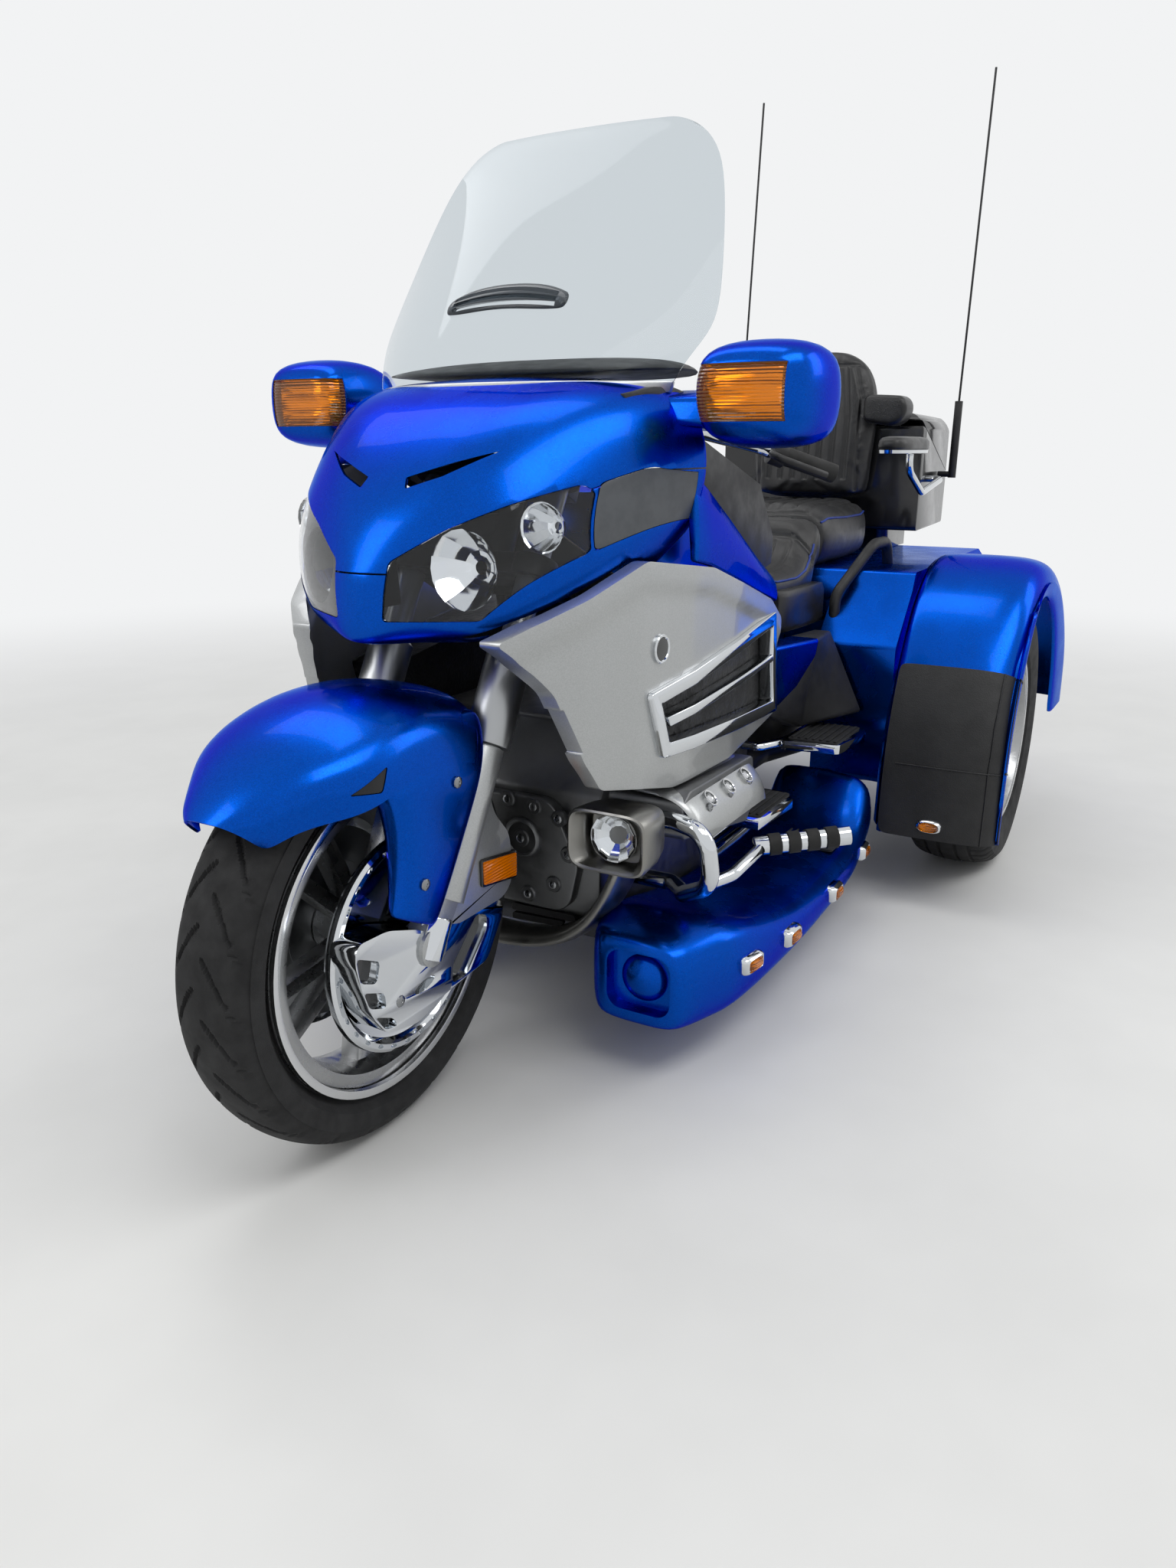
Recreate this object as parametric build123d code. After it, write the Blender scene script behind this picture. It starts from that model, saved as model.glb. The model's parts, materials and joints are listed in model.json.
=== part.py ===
from build123d import *
import os
from math import sin, cos, tan, radians

# Three-wheeled touring motorcycle: a faired tourer whose rear is a two-wheeled trike body.
# +X is forward, +Y is the rider's left, +Z is up. The origin is on the floor, midway along
# the overall length. All sizes are in millimetres.

# Overall places
WHEELBASE = 1670
FRONT_AXLE_X = 1020
REAR_AXLE_X = FRONT_AXLE_X - WHEELBASE
TAIL_X = -1340
BODY_HALF_WIDTH = 700
SEAT_GAP = 0.3

# Steering geometry
RAKE = 29.25
TRAIL = 109
FORK_OFFSET = 40
FORK_HALF_SPACING = 116
FORK_TUBE_R = 22.5
FORK_LOWER_R = 29
FORK_COVER_R = 36

# Front wheel, 18 inch
FRONT_TYRE_R = 319.5
FRONT_TYRE_WIDTH = 130
FRONT_BEAD_R = 229
FRONT_FLANGE_R = 243
FRONT_RIM_WIDTH = 96
FRONT_DISC_R = 148
FRONT_SPOKES = 5
FRONT_AXLE_BORE_R = 11

# Rear wheels, 15 inch
REAR_TYRE_R = 323.5
REAR_TYRE_WIDTH = 205
REAR_BEAD_R = 190.5
REAR_FLANGE_R = 204
REAR_RIM_WIDTH = 178
REAR_WHEEL_Y = 567
REAR_SPOKES = 5
AXLE_TUBE_R = 34
RIM_LIP = 7

# Places where the frame, the engine and the trike body meet
PIVOT_REAR_X = -80
ENGINE_REAR_X = 110.3
DECK_FRONT_X = -430
ENGINE_HALF = 200
ENGINE_FLOOR_Z = 150
DECK_Z = 735
SEAT_RAIL_Z = 647.7
SEAT_RAIL_R = 16

# Walls
PANEL_WALL = 5
BODY_WALL = 6
SCREEN_WALL = 5
SEAM_GAP = 0.4


def polygon_prism(points, direction):
    """Solid swept from a closed polygon of 3-D points along a vector."""
    return Solid.extrude(Face(Wire.make_polygon([Vector(*p) for p in points])), Vector(*direction))


def rounded_wire(points, radius):
    """Closed outline of lines and arcs. radius is one value or a list, and a corner's arc
    never takes more than 0.48 of the shorter run beside it."""
    corners = [Vector(*p) for p in points]
    count = len(corners)
    radii = radius if isinstance(radius, (list, tuple)) else [radius] * count
    ends = []
    for i, corner in enumerate(corners):
        back = corners[i - 1] - corner
        ahead = corners[(i + 1) % count] - corner
        u, v = back.normalized(), ahead.normalized()
        half_open = radians(u.get_angle(v)) / 2
        cut = min(radii[i] / tan(half_open), 0.48 * min(back.length, ahead.length)) if radii[i] else 0
        if cut:
            bisector = (u + v).normalized()
            reach = cut / cos(half_open)
            middle = corner + bisector * (reach - cut * tan(half_open))
            ends.append((corner + u * cut, middle, corner + v * cut))
        else:
            ends.append((corner, None, corner))
    edges = []
    for i, (start, middle, end) in enumerate(ends):
        edges.append(Edge.make_line(ends[i - 1][2], start))
        if middle:
            edges.append(Edge.make_three_point_arc(start, middle, end))
    return Wire(edges)


def rounded_prism(points, direction, radius):
    """As polygon_prism, with every corner of the outline rounded."""
    return Solid.extrude(Face(rounded_wire(points, radius)), Vector(*direction))


def side_plate(outline_xz, y_from, y_to, radius=0):
    """Plate whose outline is drawn in side view, from y_from to y_to."""
    points = [(x, y_from, z) for x, z in outline_xz]
    if radius:
        return rounded_prism(points, (0, y_to - y_from, 0), radius)
    return polygon_prism(points, (0, y_to - y_from, 0))


def front_plate(outline_yz, x_from, x_to, radius=0):
    """Plate whose outline is drawn in front view, from x_from to x_to."""
    points = [(x_from, y, z) for y, z in outline_yz]
    if radius:
        return rounded_prism(points, (x_to - x_from, 0, 0), radius)
    return polygon_prism(points, (x_to - x_from, 0, 0))


def plan_plate(outline_xy, z_from, z_to, radius=0):
    """Plate whose outline is drawn from above, from z_from to z_to."""
    points = [(x, y, z_from) for x, y in outline_xy]
    if radius:
        return rounded_prism(points, (0, 0, z_to - z_from), radius)
    return polygon_prism(points, (0, 0, z_to - z_from))


def moved_in(outline, gap):
    """The closed outline with every side moved in by gap, or out where gap is below 0."""
    area = sum(a[0] * b[1] - b[0] * a[1] for a, b in zip(outline, outline[1:] + outline[:1]))
    turn = 1 if area > 0 else -1
    result = []
    for before, here, after in zip(outline[-1:] + outline[:-1], outline, outline[1:] + outline[:1]):
        u = Vector(here[0] - before[0], here[1] - before[1]).normalized()
        v = Vector(after[0] - here[0], after[1] - here[1]).normalized()
        shift = gap * turn / (1 + u.X * v.X + u.Y * v.Y)
        result.append((here[0] - (u.Y + v.Y) * shift, here[1] + (u.X + v.X) * shift))
    return result


def ring_at(x, outline_yz, radius):
    """Closed wire in the plane of one x station, its corners rounded."""
    return rounded_wire([(x, y, z) for y, z in outline_yz], radius)


def skin_loft(rings):
    """Solid through a row of like wires."""
    return Solid.make_loft(rings, ruled=True)


def cylinder_between(start, end, radius):
    """Round bar from one point to another."""
    a, b = Vector(*start), Vector(*end)
    return Solid.make_cylinder(radius, (b - a).length, Plane(origin=a, z_dir=b - a))


def bent_tube(points, bend, radius, bore=0):
    """Tube along straight runs joined by arcs."""
    path = FilletPolyline(*points, radius=bend)
    start = Plane(origin=path @ 0, z_dir=path % 0)
    outer = sweep(start * Circle(radius), path=path)
    if bore:
        return outer - sweep(start * Circle(bore), path=path)
    return outer


def mirrored(shape):
    """The same piece on the rider's right."""
    return mirror(shape, about=Plane.XZ)


def both_sides(*shapes):
    """Each piece and its mirror image."""
    return [s for shape in shapes for s in (shape, mirrored(shape))]


def save(name, *shapes):
    """Writes the solids of one sub-part."""
    solids = [s for shape in shapes for s in shape.solids()]
    export_step(Compound(children=solids), f"parts/{name}.step")


os.makedirs("parts", exist_ok=True)

# The steering axis leans back by RAKE and meets the floor TRAIL ahead of the front contact.
STEER_FOOT_X = FRONT_AXLE_X + TRAIL
STEER_DIR = Vector(-sin(radians(RAKE)), 0, cos(radians(RAKE)))
STEER_FRONT = Vector(cos(radians(RAKE)), 0, sin(radians(RAKE)))


def steer_point(z, forward=0, y=0):
    """Point level with height z on the steering axis, moved square off it."""
    on_axis = Vector(STEER_FOOT_X - z * tan(radians(RAKE)), 0, z)
    return on_axis + STEER_FRONT * forward + Vector(0, y, 0)


def steer_plane(z, forward=0, y=0):
    """Plane square to the steering axis at that point."""
    return Plane(origin=steer_point(z, forward, y), x_dir=STEER_FRONT, z_dir=STEER_DIR)


# Tyres and rims, all turned about an axle along Y

def tyre(radius, width, bead_radius, flange_radius, rim_width, x, y):
    """Tyre with a rounded crown and bulged walls, its beads held between the rim's flanges."""
    half = width / 2
    bead_half = rim_width / 2 - RIM_LIP - SEAT_GAP
    foot_r = flange_radius + 2
    wall_r = (radius + flange_radius) / 2 - 4
    crown_y = half * 0.62
    crown_drop = radius * 0.02
    shoulder_y = half * 0.9
    shoulder_r = radius - radius * 0.07
    points = [(-bead_half, bead_radius), (bead_half, bead_radius), (bead_half, foot_r)]
    right_wall = [(bead_half, foot_r), (half, wall_r), (shoulder_y, shoulder_r)]
    crown = [(crown_y, radius - crown_drop), (0, radius), (-crown_y, radius - crown_drop)]
    left_wall = [(-shoulder_y, shoulder_r), (-half, wall_r), (-bead_half, foot_r)]

    def at(p):
        return Vector(0, p[0], p[1])

    edges = [Edge.make_line(at(points[0]), at(points[1])), Edge.make_line(at(points[1]), at(points[2])),
             Edge.make_three_point_arc(*[at(p) for p in right_wall]),
             Edge.make_line(at(right_wall[2]), at(crown[0])),
             Edge.make_three_point_arc(*[at(p) for p in crown]),
             Edge.make_line(at(crown[2]), at(left_wall[0])),
             Edge.make_three_point_arc(*[at(p) for p in left_wall]),
             Edge.make_line(at(left_wall[2]), at(points[0]))]
    return Pos(x, y, radius) * Solid.revolve(Face(Wire(edges)), 360, Axis.Y)


def ring_y(r_out, r_in, y_from, y_to):
    """Plain ring about the Y axis."""
    disc = Solid.make_cylinder(r_out, y_to - y_from, Plane(origin=(0, y_from, 0), z_dir=(0, 1, 0)))
    bore = Solid.make_cylinder(r_in, y_to - y_from, Plane(origin=(0, y_from, 0), z_dir=(0, 1, 0)))
    return disc - bore


def rim_barrel(bead_r, flange_r, width):
    """Rim barrel with its two flanges and a dropped centre."""
    half = width / 2
    lip = RIM_LIP
    well = bead_r - 20
    inner = well - 7
    points = [(-half, inner + 8), (-half, flange_r), (-half + lip, flange_r),
              (-half + lip, bead_r - SEAT_GAP), (-half + 26, bead_r - 3), (-half + 34, well),
              (half - 34, well), (half - 26, bead_r - 3), (half - lip, bead_r - SEAT_GAP),
              (half - lip, flange_r), (half, flange_r), (half, inner + 8), (half - 30, inner),
              (-half + 30, inner)]
    face = Face(Wire.make_polygon([Vector(0, y, r) for y, r in points]))
    return Solid.revolve(face, 360, Axis.Y)


def spoke(root_r, tip_r, root_width, tip_width, thick, y, angle):
    """One cast spoke, wider at the root than at the tip."""
    outline = [(root_r, -root_width / 2), (tip_r, -tip_width / 2), (tip_r, tip_width / 2),
               (root_r, root_width / 2)]
    points = [(r, y - thick / 2, s) for r, s in outline]
    return Rot(0, angle, 0) * polygon_prism(points, (0, thick, 0))


# Front wheel

FRONT_HUB_R = 46
front_tyre = tyre(FRONT_TYRE_R, FRONT_TYRE_WIDTH, FRONT_BEAD_R, FRONT_FLANGE_R, FRONT_RIM_WIDTH,
                  FRONT_AXLE_X, 0)

front_hub = ring_y(FRONT_HUB_R, FRONT_AXLE_BORE_R + 0.05, -58, 58)
front_rim = rim_barrel(FRONT_BEAD_R, FRONT_FLANGE_R, FRONT_RIM_WIDTH) + front_hub
for i in range(FRONT_SPOKES):
    for split in (-11, 11):
        front_rim += spoke(FRONT_HUB_R - 4, FRONT_BEAD_R - 24, 24, 20, 34, 0,
                           90 + split + i * 360 / FRONT_SPOKES)
front_rim = Pos(FRONT_AXLE_X, 0, FRONT_TYRE_R) * front_rim

DISC_Y = 64
DISC_WALL = 5
front_discs = []
for side in (1, -1):
    disc = ring_y(FRONT_DISC_R, 92, DISC_Y * side - DISC_WALL / 2, DISC_Y * side + DISC_WALL / 2)
    carrier = ring_y(95, 24, DISC_Y * side - 3, DISC_Y * side + 3)
    boss_from, boss_to = (58.2, 61) if side > 0 else (-61, -58.2)
    carrier = carrier + ring_y(44, 24, boss_from, boss_to)
    front_discs.append(Pos(FRONT_AXLE_X, 0, FRONT_TYRE_R) * (disc + carrier))

save("front_tyre", front_tyre)
save("front_rim", front_rim)
save("front_brake_discs", *front_discs)

# Rear wheels

REAR_HUB_R = 70
REAR_HUB_FACE_Y = 30
rear_rim_shape = rim_barrel(REAR_BEAD_R, REAR_FLANGE_R, REAR_RIM_WIDTH)
rear_rim_shape += ring_y(REAR_HUB_R, 20, REAR_HUB_FACE_Y, REAR_HUB_FACE_Y + 34)
for i in range(REAR_SPOKES):
    rear_rim_shape += spoke(REAR_HUB_R - 5, REAR_BEAD_R - 22, 52, 44, 22, REAR_HUB_FACE_Y + 20,
                            90 + i * 360 / REAR_SPOKES)
rear_rim_shape += Solid.make_cylinder(34, 20, Plane(origin=(0, REAR_HUB_FACE_Y + 24, 0), z_dir=(0, 1, 0)))
for name, side in (("left", 1), ("right", -1)):
    rim = Pos(REAR_AXLE_X, REAR_WHEEL_Y, REAR_TYRE_R) * rear_rim_shape
    if side < 0:
        rim = mirrored(rim)
    save(f"rear_rim_{name}", rim)
    save(f"rear_tyre_{name}", tyre(REAR_TYRE_R, REAR_TYRE_WIDTH, REAR_BEAD_R, REAR_FLANGE_R,
                                   REAR_RIM_WIDTH, REAR_AXLE_X, side * REAR_WHEEL_Y))

# Rear axle: differential case, axle tubes with flanges that face the wheels

DIFF_X = REAR_AXLE_X
axle_end_y = REAR_WHEEL_Y + REAR_HUB_FACE_Y - 0.5
rear_axle = Pos(DIFF_X, 0, REAR_TYRE_R) * Sphere(118)
rear_axle += cylinder_between((DIFF_X, -axle_end_y + 24, REAR_TYRE_R),
                              (DIFF_X, axle_end_y - 24, REAR_TYRE_R), AXLE_TUBE_R)
for side in (1, -1):
    rear_axle += cylinder_between((DIFF_X, side * (axle_end_y - 30), REAR_TYRE_R),
                                  (DIFF_X, side * axle_end_y, REAR_TYRE_R), 62)
    arm_path = [(DIFF_X, side * 300, REAR_TYRE_R), (-200, side * 165, REAR_TYRE_R),
                (PIVOT_REAR_X - SEAT_GAP, side * 165, REAR_TYRE_R)]
    rear_axle += bent_tube(arm_path, 80, 24)
rear_axle += cylinder_between((DIFF_X, 0, REAR_TYRE_R), (ENGINE_REAR_X - SEAT_GAP, 0, REAR_TYRE_R), 40)
save("rear_axle", rear_axle)

# Steering: fork, clamps, bars

LEG_FOOT_Z = 352
LOWER_TOP_Z = 560
COVER_TOP_Z = 700
LOWER_CLAMP_Z = 812
UPPER_CLAMP_Z = 958
CLAMP_THICK = 34
AXLE_R = FRONT_AXLE_BORE_R
AXLE_HALF = 140
AXLE_END_BORE_R = 5
AXLE_END_BORE_DEPTH = 40

leg_foot = steer_point(LEG_FOOT_Z, FORK_OFFSET)
AXLE_WEB = [(FRONT_AXLE_X + 20, FRONT_TYRE_R + 20), (FRONT_AXLE_X - 28, FRONT_TYRE_R - 8),
            (leg_foot.X - 30, leg_foot.Z + 20), (leg_foot.X + 24, leg_foot.Z + 50)]
AXLE_WEB_HALF = 16
fork_legs = []
for side in (1, -1):
    y = side * FORK_HALF_SPACING
    foot = steer_point(LEG_FOOT_Z, FORK_OFFSET, y)
    lower_top = steer_point(LOWER_TOP_Z, FORK_OFFSET, y)
    tube_top = steer_point(UPPER_CLAMP_Z + 24, FORK_OFFSET, y)
    leg = Solid.make_cylinder(FORK_LOWER_R, (lower_top - foot).length,
                              Plane(origin=foot, z_dir=STEER_DIR))
    leg += Solid.make_cylinder(FORK_TUBE_R, (tube_top - lower_top).length,
                               Plane(origin=lower_top, z_dir=STEER_DIR))
    lug = cylinder_between((FRONT_AXLE_X, y - side * 24, FRONT_TYRE_R),
                           (FRONT_AXLE_X, y + side * 20, FRONT_TYRE_R), 30)
    web = side_plate(AXLE_WEB, y - AXLE_WEB_HALF, y + AXLE_WEB_HALF)
    fork_legs.append(leg + lug + web)
axle = cylinder_between((FRONT_AXLE_X, -AXLE_HALF, FRONT_TYRE_R),
                        (FRONT_AXLE_X, AXLE_HALF, FRONT_TYRE_R), AXLE_R)
fork = fork_legs[0] + fork_legs[1] + axle
for side in (1, -1):
    fork -= cylinder_between((FRONT_AXLE_X, side * (AXLE_HALF - AXLE_END_BORE_DEPTH), FRONT_TYRE_R),
                             (FRONT_AXLE_X, side * (AXLE_HALF + 10), FRONT_TYRE_R), AXLE_END_BORE_R)
save("fork", fork)

fork_covers = []
for side in (1, -1):
    y = side * FORK_HALF_SPACING
    foot = steer_point(LOWER_TOP_Z + 2, FORK_OFFSET, y)
    top = steer_point(COVER_TOP_Z, FORK_OFFSET, y)
    height = (top - foot).length
    place = Plane(origin=foot, z_dir=STEER_DIR)
    shell = Solid.make_cylinder(FORK_COVER_R, height, place)
    shell = shell.chamfer(12, None, shell.edges().group_by(Axis.Z)[-1])
    fork_covers.append(shell - Solid.make_cylinder(FORK_TUBE_R + 0.3, height, place))
save("fork_covers", *fork_covers)


def clamp(z):
    """Fork clamp: a bar with two eyes round the legs."""
    block = Box(FORK_OFFSET + 64, 2 * FORK_HALF_SPACING, CLAMP_THICK)
    bar = steer_plane(z) * (Pos(FORK_OFFSET / 2, 0, 0) * block)
    for side in (1, -1):
        eye = steer_plane(z, FORK_OFFSET, side * FORK_HALF_SPACING)
        bar += eye * Cylinder(FORK_TUBE_R + 15, CLAMP_THICK)
    for side in (1, -1):
        eye = steer_plane(z, FORK_OFFSET, side * FORK_HALF_SPACING)
        bar -= eye * Cylinder(FORK_TUBE_R + 0.2, CLAMP_THICK * 2)
    return bar


STEM_R = 17
stem_foot = steer_point(LOWER_CLAMP_Z)
stem_top = steer_point(UPPER_CLAMP_Z)
stem = Solid.make_cylinder(STEM_R, (stem_top - stem_foot).length,
                           Plane(origin=stem_foot, z_dir=STEER_DIR))
triple_clamp = clamp(LOWER_CLAMP_Z) + clamp(UPPER_CLAMP_Z) + stem
save("triple_clamp", triple_clamp)

BAR_R = 14
GRIP_R = 18
GRIP_LENGTH = 112
POD_LENGTH = 30
bar_root = steer_plane(UPPER_CLAMP_Z, 22, FORK_HALF_SPACING - 52).origin
bar_root += STEER_DIR * (CLAMP_THICK / 2 + SEAT_GAP)
bar_rise = bar_root + STEER_DIR * 42
bar_inner = Vector(106, 246, 1018)
bar_end = Vector(2, 362, 968)
bar_left = bent_tube([bar_root, bar_rise, (250, 190, 1044), bar_inner, bar_end], [24, 60, 40], BAR_R)
grip_dir = (bar_end - bar_inner).normalized()
grip_end = bar_end + grip_dir * 6
grip_start = grip_end - grip_dir * GRIP_LENGTH


def bar_sleeve(radius, start, length, solid_end=0):
    """Sleeve round the straight end of the bar."""
    outer = Solid.make_cylinder(radius, length, Plane(origin=start, z_dir=grip_dir))
    return outer - Solid.make_cylinder(BAR_R + 0.2, length - solid_end,
                                       Plane(origin=start, z_dir=grip_dir))


grip = bar_sleeve(GRIP_R, grip_start, GRIP_LENGTH, 5.8)
save("handlebar", *both_sides(bar_left))
save("grips", *both_sides(grip))

LEVER_R = 7
pod_start = grip_start - grip_dir * (POD_LENGTH + 0.5)
lever_root = pod_start + grip_dir * POD_LENGTH / 2
lever_pod = bar_sleeve(24, pod_start, POD_LENGTH)
lever = bent_tube([lever_root + Vector(24, 0, 0), lever_root + Vector(64, 16, -4),
                   grip_end + Vector(50, 0, -2)], [20], LEVER_R)
save("bar_controls", *both_sides(lever_pod + lever))

# Front fender: an arched shell over the tyre with side skirts down the fork legs

FENDER_CROWN_R = 379
FENDER_HALF = FORK_HALF_SPACING - FORK_COVER_R - SEAT_GAP
FENDER_WALL = 4
FENDER_FROM = 44
FENDER_TO = 128
SKIRT_OUTER_Y = FORK_HALF_SPACING + FORK_LOWER_R + 8
COVER_Y = 74
COVER_R = 168


def fender_section():
    """Half-round section of the fender over the tyre, drawn above the axle."""
    outer = [(-FENDER_HALF, -58), (-FENDER_HALF, -30), (-50, -4), (0, 0), (50, -4), (FENDER_HALF, -30),
             (FENDER_HALF, -58)]
    inner = [(FENDER_HALF - FENDER_WALL, -58), (FENDER_HALF - FENDER_WALL, -32), (48, -8),
             (0, -FENDER_WALL), (-48, -8), (-FENDER_HALF + FENDER_WALL, -32),
             (-FENDER_HALF + FENDER_WALL, -58)]
    return Face(Wire.make_polygon([Vector(0, y, FENDER_CROWN_R + drop) for y, drop in outer + inner]))


fender = Solid.revolve(Rot(0, 90 - FENDER_FROM, 0) * fender_section(), -(FENDER_TO - FENDER_FROM), Axis.Y)
fender = Pos(FRONT_AXLE_X, 0, FRONT_TYRE_R) * fender
skirt_outline = [(1012, 380), (1030, 420), (1010, 560), (1060, 600), (990, 672), (900, 690), (876, 640),
                 (930, 520), (984, 392)]
skirt = side_plate(skirt_outline, FENDER_HALF - 0.5, SKIRT_OUTER_Y, 8)
skirt -= Pos(-FENDER_WALL - 1, 0, -FENDER_WALL) * side_plate(moved_in(skirt_outline, 1), FENDER_HALF - 2,
                                                            SKIRT_OUTER_Y - FENDER_WALL, 8)
leg_clear = Solid.make_cylinder(FORK_LOWER_R + SEAT_GAP, 500,
                                Plane(origin=steer_point(300, FORK_OFFSET, FORK_HALF_SPACING),
                                      z_dir=STEER_DIR))
leg_clear += Solid.make_cylinder(FORK_COVER_R + SEAT_GAP, 300,
                                 Plane(origin=steer_point(LOWER_TOP_Z, FORK_OFFSET, FORK_HALF_SPACING),
                                       z_dir=STEER_DIR))
leg_clear += side_plate(moved_in(AXLE_WEB, -SEAT_GAP), FORK_HALF_SPACING - AXLE_WEB_HALF - SEAT_GAP,
                        FORK_HALF_SPACING + AXLE_WEB_HALF + SEAT_GAP)
cover_clear = cylinder_between((FRONT_AXLE_X, 60, FRONT_TYRE_R),
                               (FRONT_AXLE_X, COVER_Y + 18, FRONT_TYRE_R), COVER_R + 4)
skirt = skirt - leg_clear - cover_clear
fender = fender - leg_clear - mirrored(leg_clear)
fender = fender + skirt + mirrored(skirt)
save("front_fender", fender)

# Brake covers: domed plates outside the discs, each with a caliper cover behind the leg

dome = Face(Wire.make_polygon([Vector(0, COVER_Y, 34), Vector(0, COVER_Y, COVER_R),
                               Vector(0, COVER_Y + 8, COVER_R), Vector(0, COVER_Y + 14, 158),
                               Vector(0, COVER_Y + 6, 150), Vector(0, COVER_Y + 12, 34)]))
cover = Pos(FRONT_AXLE_X, 0, FRONT_TYRE_R) * Solid.revolve(dome, 360, Axis.Y)
cover -= Solid.make_cylinder(FORK_LOWER_R + SEAT_GAP, 300,
                             Plane(origin=steer_point(300, FORK_OFFSET, FORK_HALF_SPACING),
                                   z_dir=STEER_DIR))
save("brake_covers", *both_sides(cover))

# Nose fairing, built on stations along X. Each row gives half a section:
# x, top height, shoulder (y, z), side (y, z), bottom edge (y, z)
NOSE_STATIONS = [
    (986, 852, (20, 850), (34, 800), (28, 748)),
    (966, 905, (44, 896), (84, 830), (76, 746)),
    (926, 962, (84, 950), (166, 850), (150, 745)),
    (880, 1008, (124, 998), (222, 868), (198, 744)),
    (820, 1056, (168, 1044), (256, 890), (228, 748)),
    (750, 1094, (214, 1080), (282, 905), (250, 760)),
    (680, 1120, (252, 1102), (306, 925), (270, 790)),
    (600, 1126, (276, 1112), (326, 950), (288, 830)),
    (540, 1122, (286, 1112), (334, 970), (298, 870)),
]
NOSE_CORNER_R = 12
NOSE_TIP_CORNER_R = 4


def nose_ring(station, inset, rise):
    """One closed section of the nose, moved in by a wall, its foot raised."""
    x, top, shoulder, side, foot = station
    half = [(shoulder[0] - inset, shoulder[1] - inset), (side[0] - inset, side[1]),
            (foot[0] - inset, foot[1] + rise)]
    points = [(0, top - inset)] + half + [(-y, z) for y, z in reversed(half)]
    corner = NOSE_TIP_CORNER_R if side[0] < 60 else NOSE_CORNER_R
    return ring_at(x, points, [0] + [corner] * 6)


# Upper edge of the silver cowl in side view, which the blue panels follow
COWL_TOP = [(924, 752), (884, 778), (700, 855), (499, 829), (231, 747)]


def nose_body(inset, rise=0, first=0):
    """The whole nose as a solid, moved in and back by inset."""
    rows = [(s[0] - inset,) + s[1:] for s in NOSE_STATIONS[first:]]
    if inset > 0:
        rows[-1] = (rows[-1][0] - 35,) + rows[-1][1:]
    return skin_loft([nose_ring(s, inset, rise) for s in rows])


nose_outer = nose_body(0)
chin_floor = nose_outer & plan_plate([(1100, -400), (1100, 400), (860, 400), (860, -400)], 700, 752)
nose_shell = (nose_outer - nose_body(PANEL_WALL, -60)) + (chin_floor - Pos(-60, 0, 0) * chin_floor)
below_cowl = [(x, z + SEAM_GAP) for x, z in COWL_TOP] + [(100, 700), (100, 500), (924, 500)]
nose_shell -= side_plate(below_cowl, 120, 500)
nose_shell -= side_plate(below_cowl, -500, -120)

# The side wings carry the blue panel back along the cowl. Columns: x, outer y, top z, low z
WING_ROWS = [(546, 330, 980, 838), (499, 329, 955, 829.5), (400, 328, 902, 799.5), (260, 326, 826, 757),
             (160, 324, 780, 732)]
WING_WALL = 14
wing_rings = [ring_at(x, [(y - WING_WALL - 12, high), (y - 12, high), (y, (high + low) / 2), (y, low),
                          (y - WING_WALL, low)], 5) for x, y, high, low in WING_ROWS]
side_wing = skin_loft(wing_rings)

# Headlight opening and the grey end piece beside it, drawn in front view as (y, z)
HEADLIGHT = [(40, 782), (47, 864), (115, 908), (190, 943), (250, 967), (263, 957), (263, 873),
             (212, 832), (170, 793), (158, 782)]
LAMP_END = [(264, 968), (300, 990), (345, 975), (345, 930), (300, 900), (264, 872)]
LENS_DEPTH = 40
headlight_hole = front_plate(HEADLIGHT, 1100, 560, 6)
end_hole = front_plate(LAMP_END, 1100, 600, 6)
lens_body = nose_outer - nose_body(LENS_DEPTH, -60, 1)
headlight = lens_body & front_plate(moved_in(HEADLIGHT, SEAM_GAP), 1100, 620, 6)
lamp_end = lens_body & front_plate(moved_in(LAMP_END, SEAM_GAP), 1100, 602, 6)
nose_shell = nose_shell - headlight_hole - mirrored(headlight_hole) - end_hole - mirrored(end_hole)
for outline in ([(24, 928), (34, 934), (62, 898), (50, 892)],
                [(88, 946), (92, 934), (180, 972), (205, 986)]):
    slot = front_plate(outline, 1100, 800)
    nose_shell = nose_shell - slot - mirrored(slot)
SEAM_LINE = [(0, 849), (47, 849), (160, 900), (264, 964), (315, 986), (400, 990)]
upper_zone = front_plate(SEAM_LINE + [(400, 1200), (-400, 1200)]
                         + [(-y, z) for y, z in reversed(SEAM_LINE[1:])], 1100, 400)
lower_zone = front_plate([(y, z - SEAM_GAP) for y, z in SEAM_LINE] + [(400, 600), (-400, 600)]
                         + [(-y, z - SEAM_GAP) for y, z in reversed(SEAM_LINE[1:])], 1100, 100)
save("fairing_upper", nose_shell & upper_zone)
save("fairing_lower", (nose_shell + side_wing + mirrored(side_wing)) & lower_zone)
save("headlights", *both_sides(headlight))
save("headlight_ends", *both_sides(lamp_end))

# Windscreen: arcs at four heights. Columns: z, centre x, edge x, half width
SCREEN_ROWS = [(1090, 722, 574, 278), (1128, 690, 560, 286), (1200, 630, 492, 322),
               (1312, 536, 432, 304), (1470, 402, 354, 262), (1536, 345, 330, 180)]


def screen_ring(row):
    """Closed wire of one level slice of the screen."""
    z, cx, ex, half = row
    outer = ThreePointArc((ex, -half, z), (cx, 0, z), (ex, half, z))
    inner = ThreePointArc((ex - SCREEN_WALL, half - 2, z), (cx - SCREEN_WALL, 0, z),
                          (ex - SCREEN_WALL, -half + 2, z))
    ends = [Line(outer @ 1, inner @ 0), Line(inner @ 1, outer @ 0)]
    return Wire([outer.edge(), ends[0].edge(), inner.edge(), ends[1].edge()])


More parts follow.
